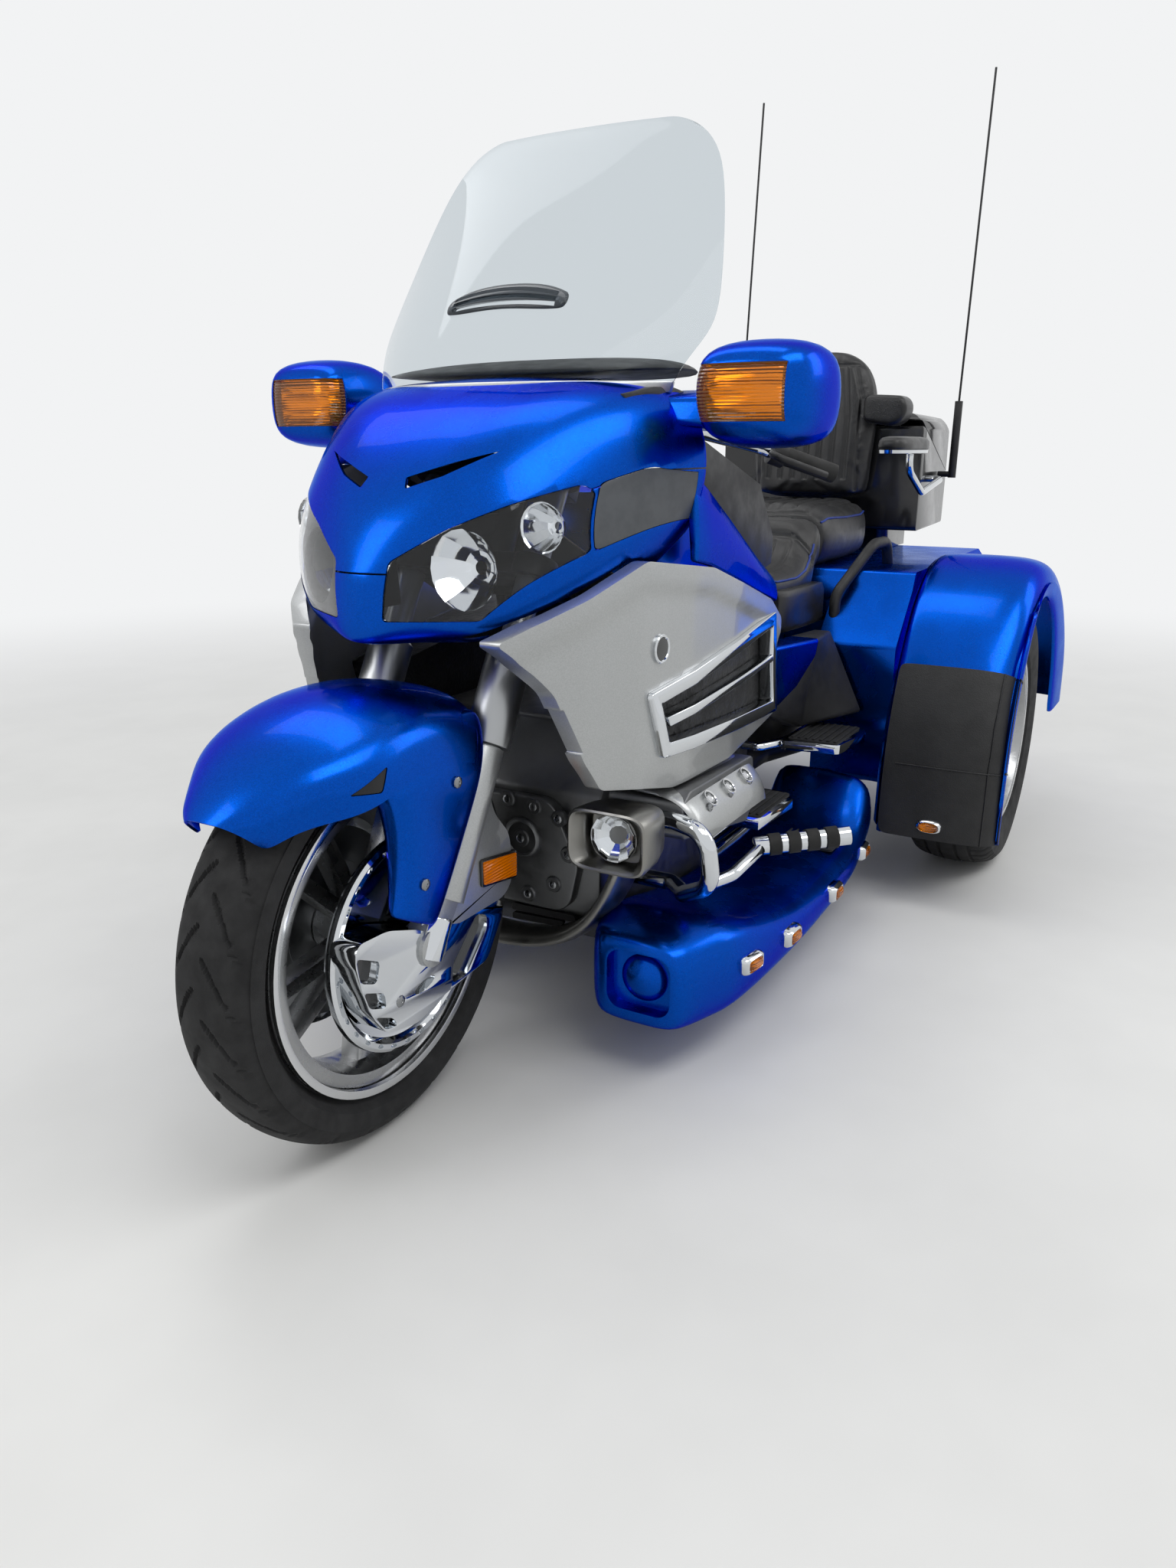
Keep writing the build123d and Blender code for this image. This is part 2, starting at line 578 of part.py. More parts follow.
windscreen = skin_loft([screen_ring(r) for r in SCREEN_ROWS]) - Pos(0, 0, SEAT_GAP) * nose_outer
save("windscreen", windscreen)

# Dash: instrument housing behind the screen, and the tank-shaped shelter behind it
DASH_STATIONS = [(664, 300, 1062, 1092), (600, 300, 1050, 1104), (545, 300, 1046, 1106),
                 (505, 300, 1046, 1096)]


def box_ring(x, half, low, high, radius):
    """Rounded rectangle at one x station, centred on the mid-plane."""
    return ring_at(x, [(-half, low), (half, low), (half, high), (-half, high)], radius)


dash = skin_loft([box_ring(x, half, low, high, 18) for x, half, low, high in DASH_STATIONS])
dash &= nose_body(PANEL_WALL + SEAT_GAP, -60)
bar_room = plan_plate([(480, -190), (614, -190), (614, 190), (480, 190)], 1000, 1090)
dash -= bar_room

# Black inner panel with its pocket, behind the blue wing and under the dash
inner_panel = side_plate([(534, 1046 - SEAT_GAP), (506, 1046 - SEAT_GAP), (371, 1006), (180, 950),
                          (100, 850), (104, 800), (150, 790), (534, 960)], 256, 284)
save("dashboard", dash, *both_sides(inner_panel))

# The shelter stands on the frame's spars. Columns: x, half width, low z, high z
SHELTER_STATIONS = [(420, 124, 780.4, 940), (300, 150, 740.4, 960), (150, 164, 690.4, 920),
                    (24, 140, 690, 840)]
shelter = skin_loft([box_ring(x, half, low, high, [6, 6, 40, 40])
                     for x, half, low, high in SHELTER_STATIONS])
save("tank_shelter", shelter)

# Silver side cowl with the vent opening
cowl_outline = COWL_TOP + [(172, 706), (166, 518), (385, 478), (600, 478), (690, 498), (780, 515),
                           (812, 564), (856, 674), (883, 707)]
COWL_WALL = 26
cowl_outer = [(926, 188), (880, 235), (812, 276), (700, 314), (560, 332), (385, 338), (150, 335)]
cowl_plan = cowl_outer + [(x - 6, y - COWL_WALL) for x, y in reversed(cowl_outer)]
VENT = [(690, 651), (205, 722), (174, 524), (650, 540)]
cowl = side_plate(cowl_outline, 100, 400, 8) & plan_plate(cowl_plan, 400, 900)
cowl = cowl - side_plate(VENT, 100, 400, 8)
save("side_cowls", *both_sides(cowl))
vent_slab = plan_plate([(x, y + 2) for x, y in cowl_outer] + [(x - 6, y - COWL_WALL)
                                                              for x, y in reversed(cowl_outer)], 400,
                       900)
vent_frame = side_plate(moved_in(VENT, SEAT_GAP), 100, 400, 8) & vent_slab
vent_frame -= side_plate(moved_in(VENT, 24), 100, 400, 6)
fin = side_plate([(640, 606), (215, 640), (212, 628), (632, 590)], 100, 400) & vent_slab
save("cowl_vents", *both_sides(vent_frame + fin))
radiator_plan = [(x - 6, y - COWL_WALL - SEAT_GAP) for x, y in cowl_outer[2:]]
radiator_plan += [(144, ENGINE_HALF + SEAT_GAP), (806, ENGINE_HALF + SEAT_GAP)]
radiator = side_plate(moved_in(VENT, 6), 100, 400) & plan_plate(radiator_plan, 400, 900)
save("radiators", *both_sides(radiator))

# Mirrors
MIRROR_STATIONS = [(690, 350, 430, 1040, 1100), (640, 342, 500, 1020, 1128), (540, 340, 526, 1006, 1146),
                   (430, 342, 528, 1004, 1148), (370, 350, 520, 1012, 1136)]
MIRROR_CORNER_R = 44
mirror_shell = skin_loft([ring_at(x, [(y0, z0), (y1, z0), (y1, z1), (y0, z1)], MIRROR_CORNER_R)
                          for x, y0, y1, z0, z1 in MIRROR_STATIONS])
lens_cut = plan_plate([(676, 330), (676, 400), (636, 476), (590, 512), (590, 560), (800, 560),
                       (800, 330)], 1045, 1112)
mirror_lamp = mirror_shell & lens_cut
mirror_foot = side_plate([(575, 1040), (650, 1050), (640, 1084), (575, 1094)], 270,
                         365) - nose_body(-SEAT_GAP)
mirror_shell = (mirror_shell + mirror_foot) - lens_cut
save("mirrors", *both_sides(mirror_shell))
save("mirror_lamps", *both_sides(mirror_lamp))

# Engine: one block, with the cylinder head covers that show on both sides
HEAD_FACE_Y = 340
engine = side_plate([(640, 230), (640, 450), (560, 560), (250, 560), (ENGINE_REAR_X, 460),
                     (ENGINE_REAR_X, 280), (230, ENGINE_FLOOR_Z), (560, ENGINE_FLOOR_Z)], -ENGINE_HALF,
                    ENGINE_HALF, 20)
head = side_plate([(608, 390), (608, 452), (580, 470), (300, 466), (290, 370), (320, 340)],
                  ENGINE_HALF - 1, HEAD_FACE_Y, 16)
save("engine", engine + head + mirrored(head))
head_cover = side_plate([(606, 386), (606, 456), (580, 472), (310, 466), (300, 378), (330, 352)],
                        HEAD_FACE_Y + SEAT_GAP, HEAD_FACE_Y + 32, 16)
for i in range(3):
    x = 370 + i * 90
    head_cover -= cylinder_between((x, HEAD_FACE_Y + 24, 424), (x, HEAD_FACE_Y + 40, 424), 15)
save("head_covers", *both_sides(head_cover))
front_cover = front_plate([(-150, 240), (150, 240), (170, 330), (120, 440), (-120, 440), (-170, 330)],
                          640 + SEAT_GAP, 664, 40)
save("engine_front_cover", front_cover)

# Fog lamps beside the engine, on short arms from the guard bars
GUARD_R = 15
GUARD_X = 626
FOG_Y = 280
FOG_Z = 424
fog_house = front_plate([(205, 372), (345, 372), (350, 474), (205, 478)], 666, 765, 22)
fog_hole = cylinder_between((705, FOG_Y, FOG_Z), (800, FOG_Y, FOG_Z), 42)
fog_arm = cylinder_between((667, 240, 430), (GUARD_X + GUARD_R + SEAT_GAP, 240, 430), 10)
fog_house = fog_house - fog_hole + fog_arm
fog_lens = cylinder_between((705 + SEAT_GAP, FOG_Y, FOG_Z), (755, FOG_Y, FOG_Z), 40)
save("fog_housings", *both_sides(fog_house))
save("fog_lenses", *both_sides(fog_lens))

# Engine guards: a loop of bar from the block's upper corner round to its lower one, with a foot peg
guard = bent_tube([(GUARD_X, ENGINE_HALF + SEAT_GAP, 430), (GUARD_X, 330, 430), (642, 396, 424),
                   (632, 404, 330), (600, 340, 292), (560, 300, 292),
                   (560, ENGINE_HALF + SEAT_GAP, 292)], [40, 40, 50, 30, 30], GUARD_R)
peg_arm = bent_tube([(600, 352, 300), (540, 402, 318), (440, 412, 334)], [40], 11)
peg = cylinder_between((428, 398, 334), (330, 540, 350), 17)
save("engine_guards", *both_sides(guard + peg_arm + peg))

# Frame: steering head, twin spars, pivot plates and seat rails
head_low = steer_point(LOWER_CLAMP_Z) + STEER_DIR * (CLAMP_THICK / 2 + 1)
head_high = steer_point(UPPER_CLAMP_Z) - STEER_DIR * (CLAMP_THICK / 2 + 1)
head_tube = Solid.make_cylinder(36, (head_high - head_low).length,
                                Plane(origin=head_low, z_dir=STEER_DIR))
spar = skin_loft([ring_at(610, [(10, 840), (34, 840), (34, 930), (10, 930)], 8),
                  ring_at(420, [(118, 690), (144, 690), (144, 780), (118, 780)], 8),
                  ring_at(60, [(150, 580), (180, 580), (180, 660), (150, 660)], 8)])
pivot_plate = side_plate([(80, 640), (-60, 600), (PIVOT_REAR_X, 430), (PIVOT_REAR_X, 250), (40, 220),
                          (110, 280), (110, 460), (100, 500)], 150, 180, 10)
rail = bent_tube([(40, 165, 600), (-60, 165, SEAT_RAIL_Z), (DECK_FRONT_X + 0.4, 165, SEAT_RAIL_Z)],
                 [100], SEAT_RAIL_R)
fairing_stay = side_plate([(650, 882), (960, 866), (960, 896), (640, 915)], -18,
                          18) & nose_body(PANEL_WALL + SEAT_GAP)
frame = head_tube + spar + mirrored(spar) + pivot_plate + mirrored(pivot_plate)
frame += rail + mirrored(rail) + fairing_stay
for x, z in ((0, 560), (0, 248)):
    frame += cylinder_between((x, -170, z), (x, 170, z), 18)
frame -= Solid.make_cylinder(STEM_R + 0.05, (head_high - head_low).length,
                             Plane(origin=head_low, z_dir=STEER_DIR))
save("frame", frame)

# Running boards. Columns: x, inner y, outer y, low z, high z
BOARD_IN_Y = ENGINE_HALF + SEAT_GAP
BOARD_STATIONS = [(720, 250, 380, 110, 230), (690, 212, 410, 90, 262), (600, BOARD_IN_Y, 446, 84, 264),
                  (480, BOARD_IN_Y, 462, 96, 236), (300, BOARD_IN_Y, 470, 108, 206)]
# The rear end follows the rear fenders, its x counted from the rear axle
BOARD_REAR_STATIONS = [(650, 206, 465, 118, 204), (560, 206, 452, 124, 212), (460, 206, 440, 130, 300),
                       (410, 206, 438, 140, 322)]
BOARD_STATIONS += [(REAR_AXLE_X + x, *row) for x, *row in BOARD_REAR_STATIONS]
board = skin_loft([ring_at(x, [(y0, z0), (y1, z0), (y1, z1), (y0, z1)], 14)
                   for x, y0, y1, z0, z1 in BOARD_STATIONS])
dome_pocket = cylinder_between((690, 318, 178), (760, 318, 178), 44)
board = board - dome_pocket + Pos(692, 318, 178) * Sphere(34)
save("running_boards", *both_sides(board))


def board_edge(x):
    """Outer edge of the running board at one x."""
    for (x0, _, y0, _, _), (x1, _, y1, _, _) in zip(BOARD_STATIONS, BOARD_STATIONS[1:]):
        if x0 >= x >= x1:
            return y0 + (y1 - y0) * (x0 - x) / (x0 - x1)


# Marker lamps along the boards
LAMP_X = (560, 400, 150, REAR_AXLE_X + 540)
LAMP_LENGTH = 52
marker_lamps = []
for x in LAMP_X:
    edge = max(board_edge(x - LAMP_LENGTH / 2), board_edge(x + LAMP_LENGTH / 2))
    marker_lamps.append(Pos(x, edge + SEAT_GAP + 9, 162) * Box(LAMP_LENGTH, 18, 28))
save("marker_lamps", *both_sides(*marker_lamps))

# Foot boards
rider_board = plan_plate([(230, 201), (230, 330), (60, 340), (20, 300), (20, 180.3), (100, 180.3),
                          (105, 201)], 292, 312)
passenger_board = plan_plate([(-90, 250), (-110, 380), (-250, 400), (-300, 380), (-300, 250)], 372, 392,
                             14)
passenger_arm = bent_tube([(-50, 180.3, 382), (-50, 220, 382), (-150, 262, 382)], [20], 9)
save("foot_boards", *both_sides(rider_board, passenger_board + passenger_arm))

# Seat: a stepped cushion on the seat rails and the deck, with skirts down its sides.
# Columns: x, half width, low z, high z
SEAT_FLOOR_Z = SEAT_RAIL_Z + SEAT_RAIL_R + SEAT_GAP
SEAT_DECK_Z = DECK_Z + SEAT_GAP
SEAT_STEP_X = -470
SEAT_EDGE_DROP = 16
SADDLE_ROWS = [(14, 120, SEAT_FLOOR_Z, 748), (-60, 150, SEAT_FLOOR_Z, 778),
               (-130, 172, SEAT_FLOOR_Z, 760), (-220, 195, SEAT_FLOOR_Z, 742),
               (-330, 206, SEAT_FLOOR_Z, 744), (-400, 208, SEAT_FLOOR_Z, 776),
               (-424, 208, SEAT_FLOOR_Z, 812)]
STEP_ROWS = [(-396, 200, SEAT_DECK_Z, 770), (-430, 206, SEAT_DECK_Z, 822),
             (SEAT_STEP_X, 208, SEAT_DECK_Z, 866)]
PILLION_ROWS = [(SEAT_STEP_X - SEAT_GAP, 206, SEAT_DECK_Z, 862), (-520, 214, SEAT_DECK_Z, 880),
                (-600, 216, SEAT_DECK_Z, 878), (-800, 210, SEAT_DECK_Z, 874),
                (-893, 196, SEAT_DECK_Z, 884)]
# Columns: x, inner y, outer y
SKIRT_ROWS = [(-190, 182, 198), (-220, 184, 212), (-330, 186, 222), (-424, 186, 226)]
SKIRT_FOOT_Z = 612


def cushion(rows):
    """Upholstered block through a row of crowned sections."""
    rings = []
    for x, half, low, high in rows:
        edge = high - SEAT_EDGE_DROP
        points = [(-half, low), (half, low), (half, edge), (half * 0.6, high), (-half * 0.6, high),
                  (-half, edge)]
        rings.append(ring_at(x, points, 14))
    return skin_loft(rings)


seat_skirt = skin_loft([ring_at(x, [(y0, SKIRT_FOOT_Z), (y1, SKIRT_FOOT_Z), (y1, 700), (y0, 700)], 6)
                        for x, y0, y1 in SKIRT_ROWS])
seat_rider = cushion(SADDLE_ROWS) + cushion(STEP_ROWS) + seat_skirt + mirrored(seat_skirt)
save("seat", seat_rider, cushion(PILLION_ROWS))

TRUNK_FRONT_X = -1012
BACK_HALF = 165
back_side = side_plate([(-897, 890), (-938, 1240), (-962, 1272), (-990, 1250), (-990, 950),
                        (TRUNK_FRONT_X + SEAT_GAP, 940), (TRUNK_FRONT_X + SEAT_GAP, 890)], -220, 220, 12)
back_front = front_plate([(-BACK_HALF, 880), (BACK_HALF, 880), (BACK_HALF + 20, 1090),
                          (BACK_HALF - 4, 1200), (90, 1272), (-90, 1272), (-BACK_HALF + 4, 1200),
                          (-BACK_HALF - 20, 1090)], -880, -1020, 50)
backrest = back_side & back_front
wing = front_plate([(150, 1080), (240, 1066), (272, 1100), (262, 1146), (150, 1152)], -895, -985, 20)
save("backrest", backrest + wing + mirrored(wing))

# Side covers under the seat, flared out towards the rear, each in two panels.
# Columns: x, inner y, outer y at the foot, outer y at the top, foot z, top z
COVER_ROWS = [(60, 205, 228, 232, 520, 596), (-60, 205, 236, 250, 452, 606),
              (-200, 215, 262, 290, 400, 606), (-324, 235, 366, 278, 420, 606)]
side_cover = skin_loft([ring_at(x, [(y0, foot), (y1, foot), (y2, top), (y0, top)], 8)
                        for x, y0, y1, y2, foot, top in COVER_ROWS])
COVER_SPLIT = [(100, 640), (-215, 640), (-205, 570), (-150, 505), (-90, 472), (0, 455), (100, 455)]
cover_front = side_cover & side_plate(COVER_SPLIT, 150, 450)
cover_rear = side_cover - side_plate(moved_in(COVER_SPLIT, -SEAM_GAP), 150, 450)
cover_front += cylinder_between((20, 180.3, 570), (20, 206, 570), 10)
save("side_covers", *both_sides(cover_front))
save("rear_covers", *both_sides(cover_rear))

# Trunk with its lid. The seam climbs towards the front, where the lid's knuckles turn on pins.
TRUNK_HALF = 290
TRUNK_WALL = 10
TRUNK_TAIL_X = -1328
TRUNK_FLOOR_Z = 790
LID_SEAM_FRONT_Z = 1072
LID_SEAM_REAR_Z = 940
LID_SEAM_GAP = 2
LID_FRONT_RISE = 14
KNUCKLE_R = 5
KNUCKLE_PIN_R = 2.5
KNUCKLE_LENGTH = 36
PIN_PLAY = 0.05
LID_HINGE_X = TRUNK_FRONT_X - KNUCKLE_R
LID_HINGE_Z = 1079
TRUNK_SIDE = [(TRUNK_FRONT_X, TRUNK_FLOOR_Z), (TRUNK_FRONT_X, 1090), (-1030, 1105), (-1290, 1095),
              (-1324, 1060), (TRUNK_TAIL_X, LID_SEAM_REAR_Z), (-1322, TRUNK_FLOOR_Z + 10)]


def trunk_block(inset):
    """The closed trunk's outer shape, moved in by inset, its upper side edges rounded."""
    half = TRUNK_HALF - inset
    low, high = TRUNK_FLOOR_Z - 100, 1105 - inset
    side = side_plate(moved_in(TRUNK_SIDE, inset), -half, half, 12)
    return side & front_plate([(-half, low), (half, low), (half, high), (-half, high)], -900, -1400,
                              [1, 1, 50, 50])


trunk_shell = trunk_block(0) - trunk_block(TRUNK_WALL)
lid_zone = side_plate([(-990, LID_SEAM_FRONT_Z + LID_FRONT_RISE),
                       (-1030, LID_SEAM_FRONT_Z + LID_FRONT_RISE), (-1040, LID_SEAM_FRONT_Z - 6),
                       (TRUNK_TAIL_X - 20, LID_SEAM_REAR_Z), (TRUNK_TAIL_X - 20, 1200), (-990, 1200)],
                      -400, 400)
base_zone = side_plate([(-990, LID_SEAM_FRONT_Z), (-1030, LID_SEAM_FRONT_Z - 4),
                        (-1040, LID_SEAM_FRONT_Z - 6 - LID_SEAM_GAP),
                        (TRUNK_TAIL_X - 20, LID_SEAM_REAR_Z - LID_SEAM_GAP), (TRUNK_TAIL_X - 20, 600),
                        (-990, 600)], -400, 400)
trunk_foot = plan_plate([(-1040, -200), (-1040, 200), (-1280, 200), (-1280, -200)], SEAT_DECK_Z,
                        TRUNK_FLOOR_Z + 4, 30)
trunk_base = (trunk_shell & base_zone) + trunk_foot
trunk_lid = trunk_shell & lid_zone
for side in (1, -1):
    inner_y, outer_y = side * 190, side * (190 + KNUCKLE_LENGTH)
    lid_y = side * (190 - KNUCKLE_LENGTH - 0.5)
    barrel = cylinder_between((LID_HINGE_X, inner_y, LID_HINGE_Z), (LID_HINGE_X, outer_y, LID_HINGE_Z),
                              KNUCKLE_R)
    barrel += Pos(LID_HINGE_X, (inner_y + outer_y) / 2, LID_HINGE_Z - 6) * Box(2 * KNUCKLE_R,
                                                                               KNUCKLE_LENGTH, 12)
    bore = cylinder_between((LID_HINGE_X, inner_y, LID_HINGE_Z), (LID_HINGE_X, outer_y, LID_HINGE_Z),
                            KNUCKLE_PIN_R + PIN_PLAY)
    trunk_base += barrel - bore
    knuckle = cylinder_between((LID_HINGE_X, lid_y, LID_HINGE_Z),
                               (LID_HINGE_X, inner_y - side * 0.5, LID_HINGE_Z), KNUCKLE_R)
    knuckle += Pos(LID_HINGE_X, (lid_y + inner_y - side * 0.5) / 2, LID_HINGE_Z + 6) * Box(2 * KNUCKLE_R,
                                                                                       KNUCKLE_LENGTH, 12)
    trunk_lid += knuckle
    trunk_lid += cylinder_between((LID_HINGE_X, lid_y, LID_HINGE_Z),
                                  (LID_HINGE_X, outer_y, LID_HINGE_Z), KNUCKLE_PIN_R)
save("trunk_base", trunk_base)
save("trunk_lid", trunk_lid)

# Armrests, carried on bent posts from the trunk's sides
arm_pad = plan_plate([(-520, 290), (-520, 372), (-800, 372), (-800, 290)], 1000, 1040, 36)
arm_post = bent_tube([(-716, 332, 1000 - SEAT_GAP), (-716, 332, 960), (-870, 332, 900), (-1080, 332, 930),
                      (-1080, TRUNK_HALF + SEAT_GAP, 930)], [40, 60, 20], 9)
save("armrest_pads", *both_sides(arm_pad))
save("armrest_posts", *both_sides(arm_post))

# Antennas on brackets at the trunk's sides
ANTENNA_Y = 330
antenna_base = cylinder_between((-1225, ANTENNA_Y, 930), (-1232, ANTENNA_Y, 1140), 11)
antenna_base += cylinder_between((-1225, TRUNK_HALF + SEAT_GAP, 940), (-1225, ANTENNA_Y, 940), 8)
mast = cylinder_between((-1232, ANTENNA_Y, 1140), (-1310, ANTENNA_Y, 1990), 3)
save("antennas", *both_sides(antenna_base + mast))

# Trike body: centre deck with its rear compartment, and two fenders over the wheels
FENDER_IN_Y = 430
ARCH_GAP = 26.5
ARCH_R = REAR_TYRE_R + ARCH_GAP
FENDER_TOP_Z = 765
FLAP_TOP_Z = 322
# Side outline of the fender, its x counted from the rear axle
FENDER_OUTLINE = [(406, 165), (394, 330), (324, 520), (230, 660), (130, 735), (10, FENDER_TOP_Z),
                  (-150, 752), (-330, 690), (-480, 590), (-580, 470), (-600, FLAP_TOP_Z),
                  (-340, FLAP_TOP_Z), (0, 420), (340, 165)]
FENDER_SIDE = [(REAR_AXLE_X + x, z) for x, z in FENDER_OUTLINE]
FENDER_CORNERS = [12, 200, 300, 300, 300, 300, 300, 300, 300, 200, 12, 0, 0, 12]
# Columns: distance in from the body's side, or out from the inner wall; how far the section is moved in
FENDER_OUTER_ROWS = [(60, 0), (22, 12), (0, 38)]
FENDER_INNER_ROWS = [(0, 14), (18, 0)]


def fender_block(gap):
    """Fender as a solid over the wheel, grown outwards by gap."""
    rows = [(FENDER_IN_Y - gap + y, inset) for y, inset in FENDER_INNER_ROWS]
    rows += [(BODY_HALF_WIDTH + gap - y, inset) for y, inset in FENDER_OUTER_ROWS]
    return skin_loft([rounded_wire([(x, y, z) for x, z in moved_in(FENDER_SIDE, inset - gap)],
                                   FENDER_CORNERS) for y, inset in rows])


arch_y = FENDER_IN_Y + BODY_WALL
arch = cylinder_between((REAR_AXLE_X, arch_y, REAR_TYRE_R), (REAR_AXLE_X, BODY_HALF_WIDTH + 50,
                                                             REAR_TYRE_R), ARCH_R)
arch_low = plan_plate([(REAR_AXLE_X - ARCH_R, arch_y), (REAR_AXLE_X + ARCH_R, arch_y),
                       (REAR_AXLE_X + ARCH_R, BODY_HALF_WIDTH + 50),
                       (REAR_AXLE_X - ARCH_R, BODY_HALF_WIDTH + 50)], 0, REAR_TYRE_R)
rear_fender = fender_block(0) - arch - arch_low
DECK_WALL = 30
HOLD_FRONT_X = -1000
deck_side = [(DECK_FRONT_X, 250), (DECK_FRONT_X, 660), (SEAT_STEP_X, DECK_Z), (-1200, DECK_Z),
             (-1330, 690), (TAIL_X + 4, 300), (-1250, 240), (-900, 240)]
deck = side_plate(deck_side, -FENDER_IN_Y, FENDER_IN_Y, 16)
hold_half = FENDER_IN_Y - DECK_WALL
rear_hold = side_plate([(HOLD_FRONT_X, 256), (HOLD_FRONT_X, 722), (-1190, 722), (-1318, 682),
                        (-1400, 682), (-1400, 310), (-1320, 300), (-1240, 256)], -hold_half, hold_half)
# Aprons of the deck beside the seat, sloping down in front of the fenders
APRON_IN_Y = 245
APRON_FRONT_X = -335
apron = side_plate([(APRON_FRONT_X, 250), (APRON_FRONT_X, 575), (SEAT_STEP_X, 716), (-580, DECK_Z),
                    (-620, DECK_Z), (-620, 250)], APRON_IN_Y, FENDER_IN_Y, 20)
axle_room = side_plate([(APRON_FRONT_X - 10, 200), (APRON_FRONT_X - 10, 560), (-990, 560), (-990, 200)],
                       -hold_half, hold_half)
seat_well = side_plate([(-300, 200), (-300, 560), (-440, 560), (-440, 200)], -APRON_IN_Y, APRON_IN_Y)
deck = deck + apron + mirrored(apron) - rear_hold - axle_room - seat_well
# Wells sunk into the deck's side walls, which give the tyres their running gap
WELL_DEPTH = 14
well_y = FENDER_IN_Y - WELL_DEPTH
well = cylinder_between((REAR_AXLE_X, well_y, REAR_TYRE_R), (REAR_AXLE_X, arch_y, REAR_TYRE_R), ARCH_R)
well += plan_plate([(REAR_AXLE_X - ARCH_R, well_y), (REAR_AXLE_X + ARCH_R, well_y),
                    (REAR_AXLE_X + ARCH_R, arch_y), (REAR_AXLE_X - ARCH_R, arch_y)], 0, REAR_TYRE_R)
well &= side_plate([(HOLD_FRONT_X + BODY_WALL, 0), (APRON_FRONT_X - BODY_WALL, 0),
                    (APRON_FRONT_X - BODY_WALL, FENDER_TOP_Z), (HOLD_FRONT_X + BODY_WALL, FENDER_TOP_Z)],
                   well_y - 10, arch_y + 10)
trike_body = deck + rear_fender + mirrored(rear_fender) - well - mirrored(well)
trike_body -= cylinder_between((REAR_AXLE_X, -FENDER_IN_Y - 20, REAR_TYRE_R),
                               (REAR_AXLE_X, FENDER_IN_Y + 20, REAR_TYRE_R), AXLE_TUBE_R + 12)

# Rear door, hung from two pins at its upper edge
DOOR_GAP = 4
DOOR_FACE_X = -1333
DOOR_BACK_X = -1320
DOOR_TOP_Z = 676
DOOR_HINGE_Z = 671
DOOR_HINGE_X = (DOOR_FACE_X + DOOR_BACK_X) / 2
DOOR_PIN_Y = 220
door_half = hold_half - DOOR_GAP
body_door = side_plate([(DOOR_BACK_X, 314), (DOOR_BACK_X, DOOR_TOP_Z), (DOOR_FACE_X, DOOR_TOP_Z),
                        (DOOR_FACE_X, 314)], -door_half, door_half)
plate = front_plate([(-95, 400), (95, 400), (95, 520), (-95, 520)], DOOR_FACE_X - SEAT_GAP, TAIL_X, 8)
PLATE_HOLE_Y = 73
PLATE_HOLE_Z = (425, 495)
PLATE_HOLE_R = 3.2
for y in (PLATE_HOLE_Y, -PLATE_HOLE_Y):
    for z in PLATE_HOLE_Z:
        hole = cylinder_between((-1300, y, z), (-1350, y, z), PLATE_HOLE_R)
        plate -= hole
        body_door -= hole
for y in (DOOR_PIN_Y, -DOOR_PIN_Y):
    notch_half = KNUCKLE_LENGTH / 2 + 0.5
    body_door -= Pos(DOOR_HINGE_X, y, DOOR_HINGE_Z) * Box(20, 2 * notch_half, 2 * KNUCKLE_R + 3)
    body_door += cylinder_between((DOOR_HINGE_X, y - notch_half - 1, DOOR_HINGE_Z),
                                  (DOOR_HINGE_X, y + notch_half + 1, DOOR_HINGE_Z), KNUCKLE_PIN_R)
    ends = [(DOOR_HINGE_X, y - KNUCKLE_LENGTH / 2, DOOR_HINGE_Z),
            (DOOR_HINGE_X, y + KNUCKLE_LENGTH / 2, DOOR_HINGE_Z)]
    barrel = cylinder_between(*ends, KNUCKLE_R)
    barrel += Pos(DOOR_HINGE_X + 2, y, DOOR_HINGE_Z + 8) * Box(6, KNUCKLE_LENGTH, 14)
    trike_body += barrel - cylinder_between(*ends, KNUCKLE_PIN_R + PIN_PLAY)
save("trike_body", trike_body)
save("body_door", body_door)
save("plate_bracket", plate)

# Grab rails beside the seat, standing on the aprons
rail_path = [(-395, 262, 540), (-400, 262, 680), (-520, 312, 792), (-620, 316, 792), (-660, 316, 700)]
grab_rail = bent_tube(rail_path, [50, 50, 40], 13) - Pos(0, 0, SEAT_GAP) * trike_body
save("grab_rails", *both_sides(*[s for s in grab_rail.solids() if s.bounding_box().max.Z > 780]))

COVER_WALL = 4
COVER_OUTLINE = [(450, 168), (450, 519), (305, 519), (305, 400), (350, 168)]
cover_zone = side_plate([(REAR_AXLE_X + x, z) for x, z in COVER_OUTLINE], FENDER_IN_Y + 6, 900)
fender_cover = (fender_block(COVER_WALL + SEAT_GAP) - fender_block(SEAT_GAP)) & cover_zone
save("fender_covers", *both_sides(fender_cover))
LAMP_OUTLINE = [(-597.9, 340), (-584.4, 440), (-596, 444), (-612, 340)]
tail_lamp = side_plate([(REAR_AXLE_X + x, z) for x, z in LAMP_OUTLINE], BODY_HALF_WIDTH - 180,
                       BODY_HALF_WIDTH - 62)
save("tail_lamps", *both_sides(tail_lamp))
flap_y = BODY_HALF_WIDTH - 62
flap_x = REAR_AXLE_X - ARCH_R - 12
flap = front_plate([(480, 147), (flap_y, 147), (flap_y, FLAP_TOP_Z - SEAT_GAP), (480, FLAP_TOP_Z - SEAT_GAP)],
                   flap_x, flap_x - 4, 12)
save("mud_flaps", *both_sides(flap))
exhaust = cylinder_between((-1010, 300, 176), (-1320, 300, 190), 44)
exhaust_pipe = bent_tube([(-1010.3, 300, 176), (-760, 300, 176), (-300, 120, 132), (330, 120, 118),
                          (330, 120, ENGINE_FLOOR_Z - SEAT_GAP)], [200, 200, 24], 22)
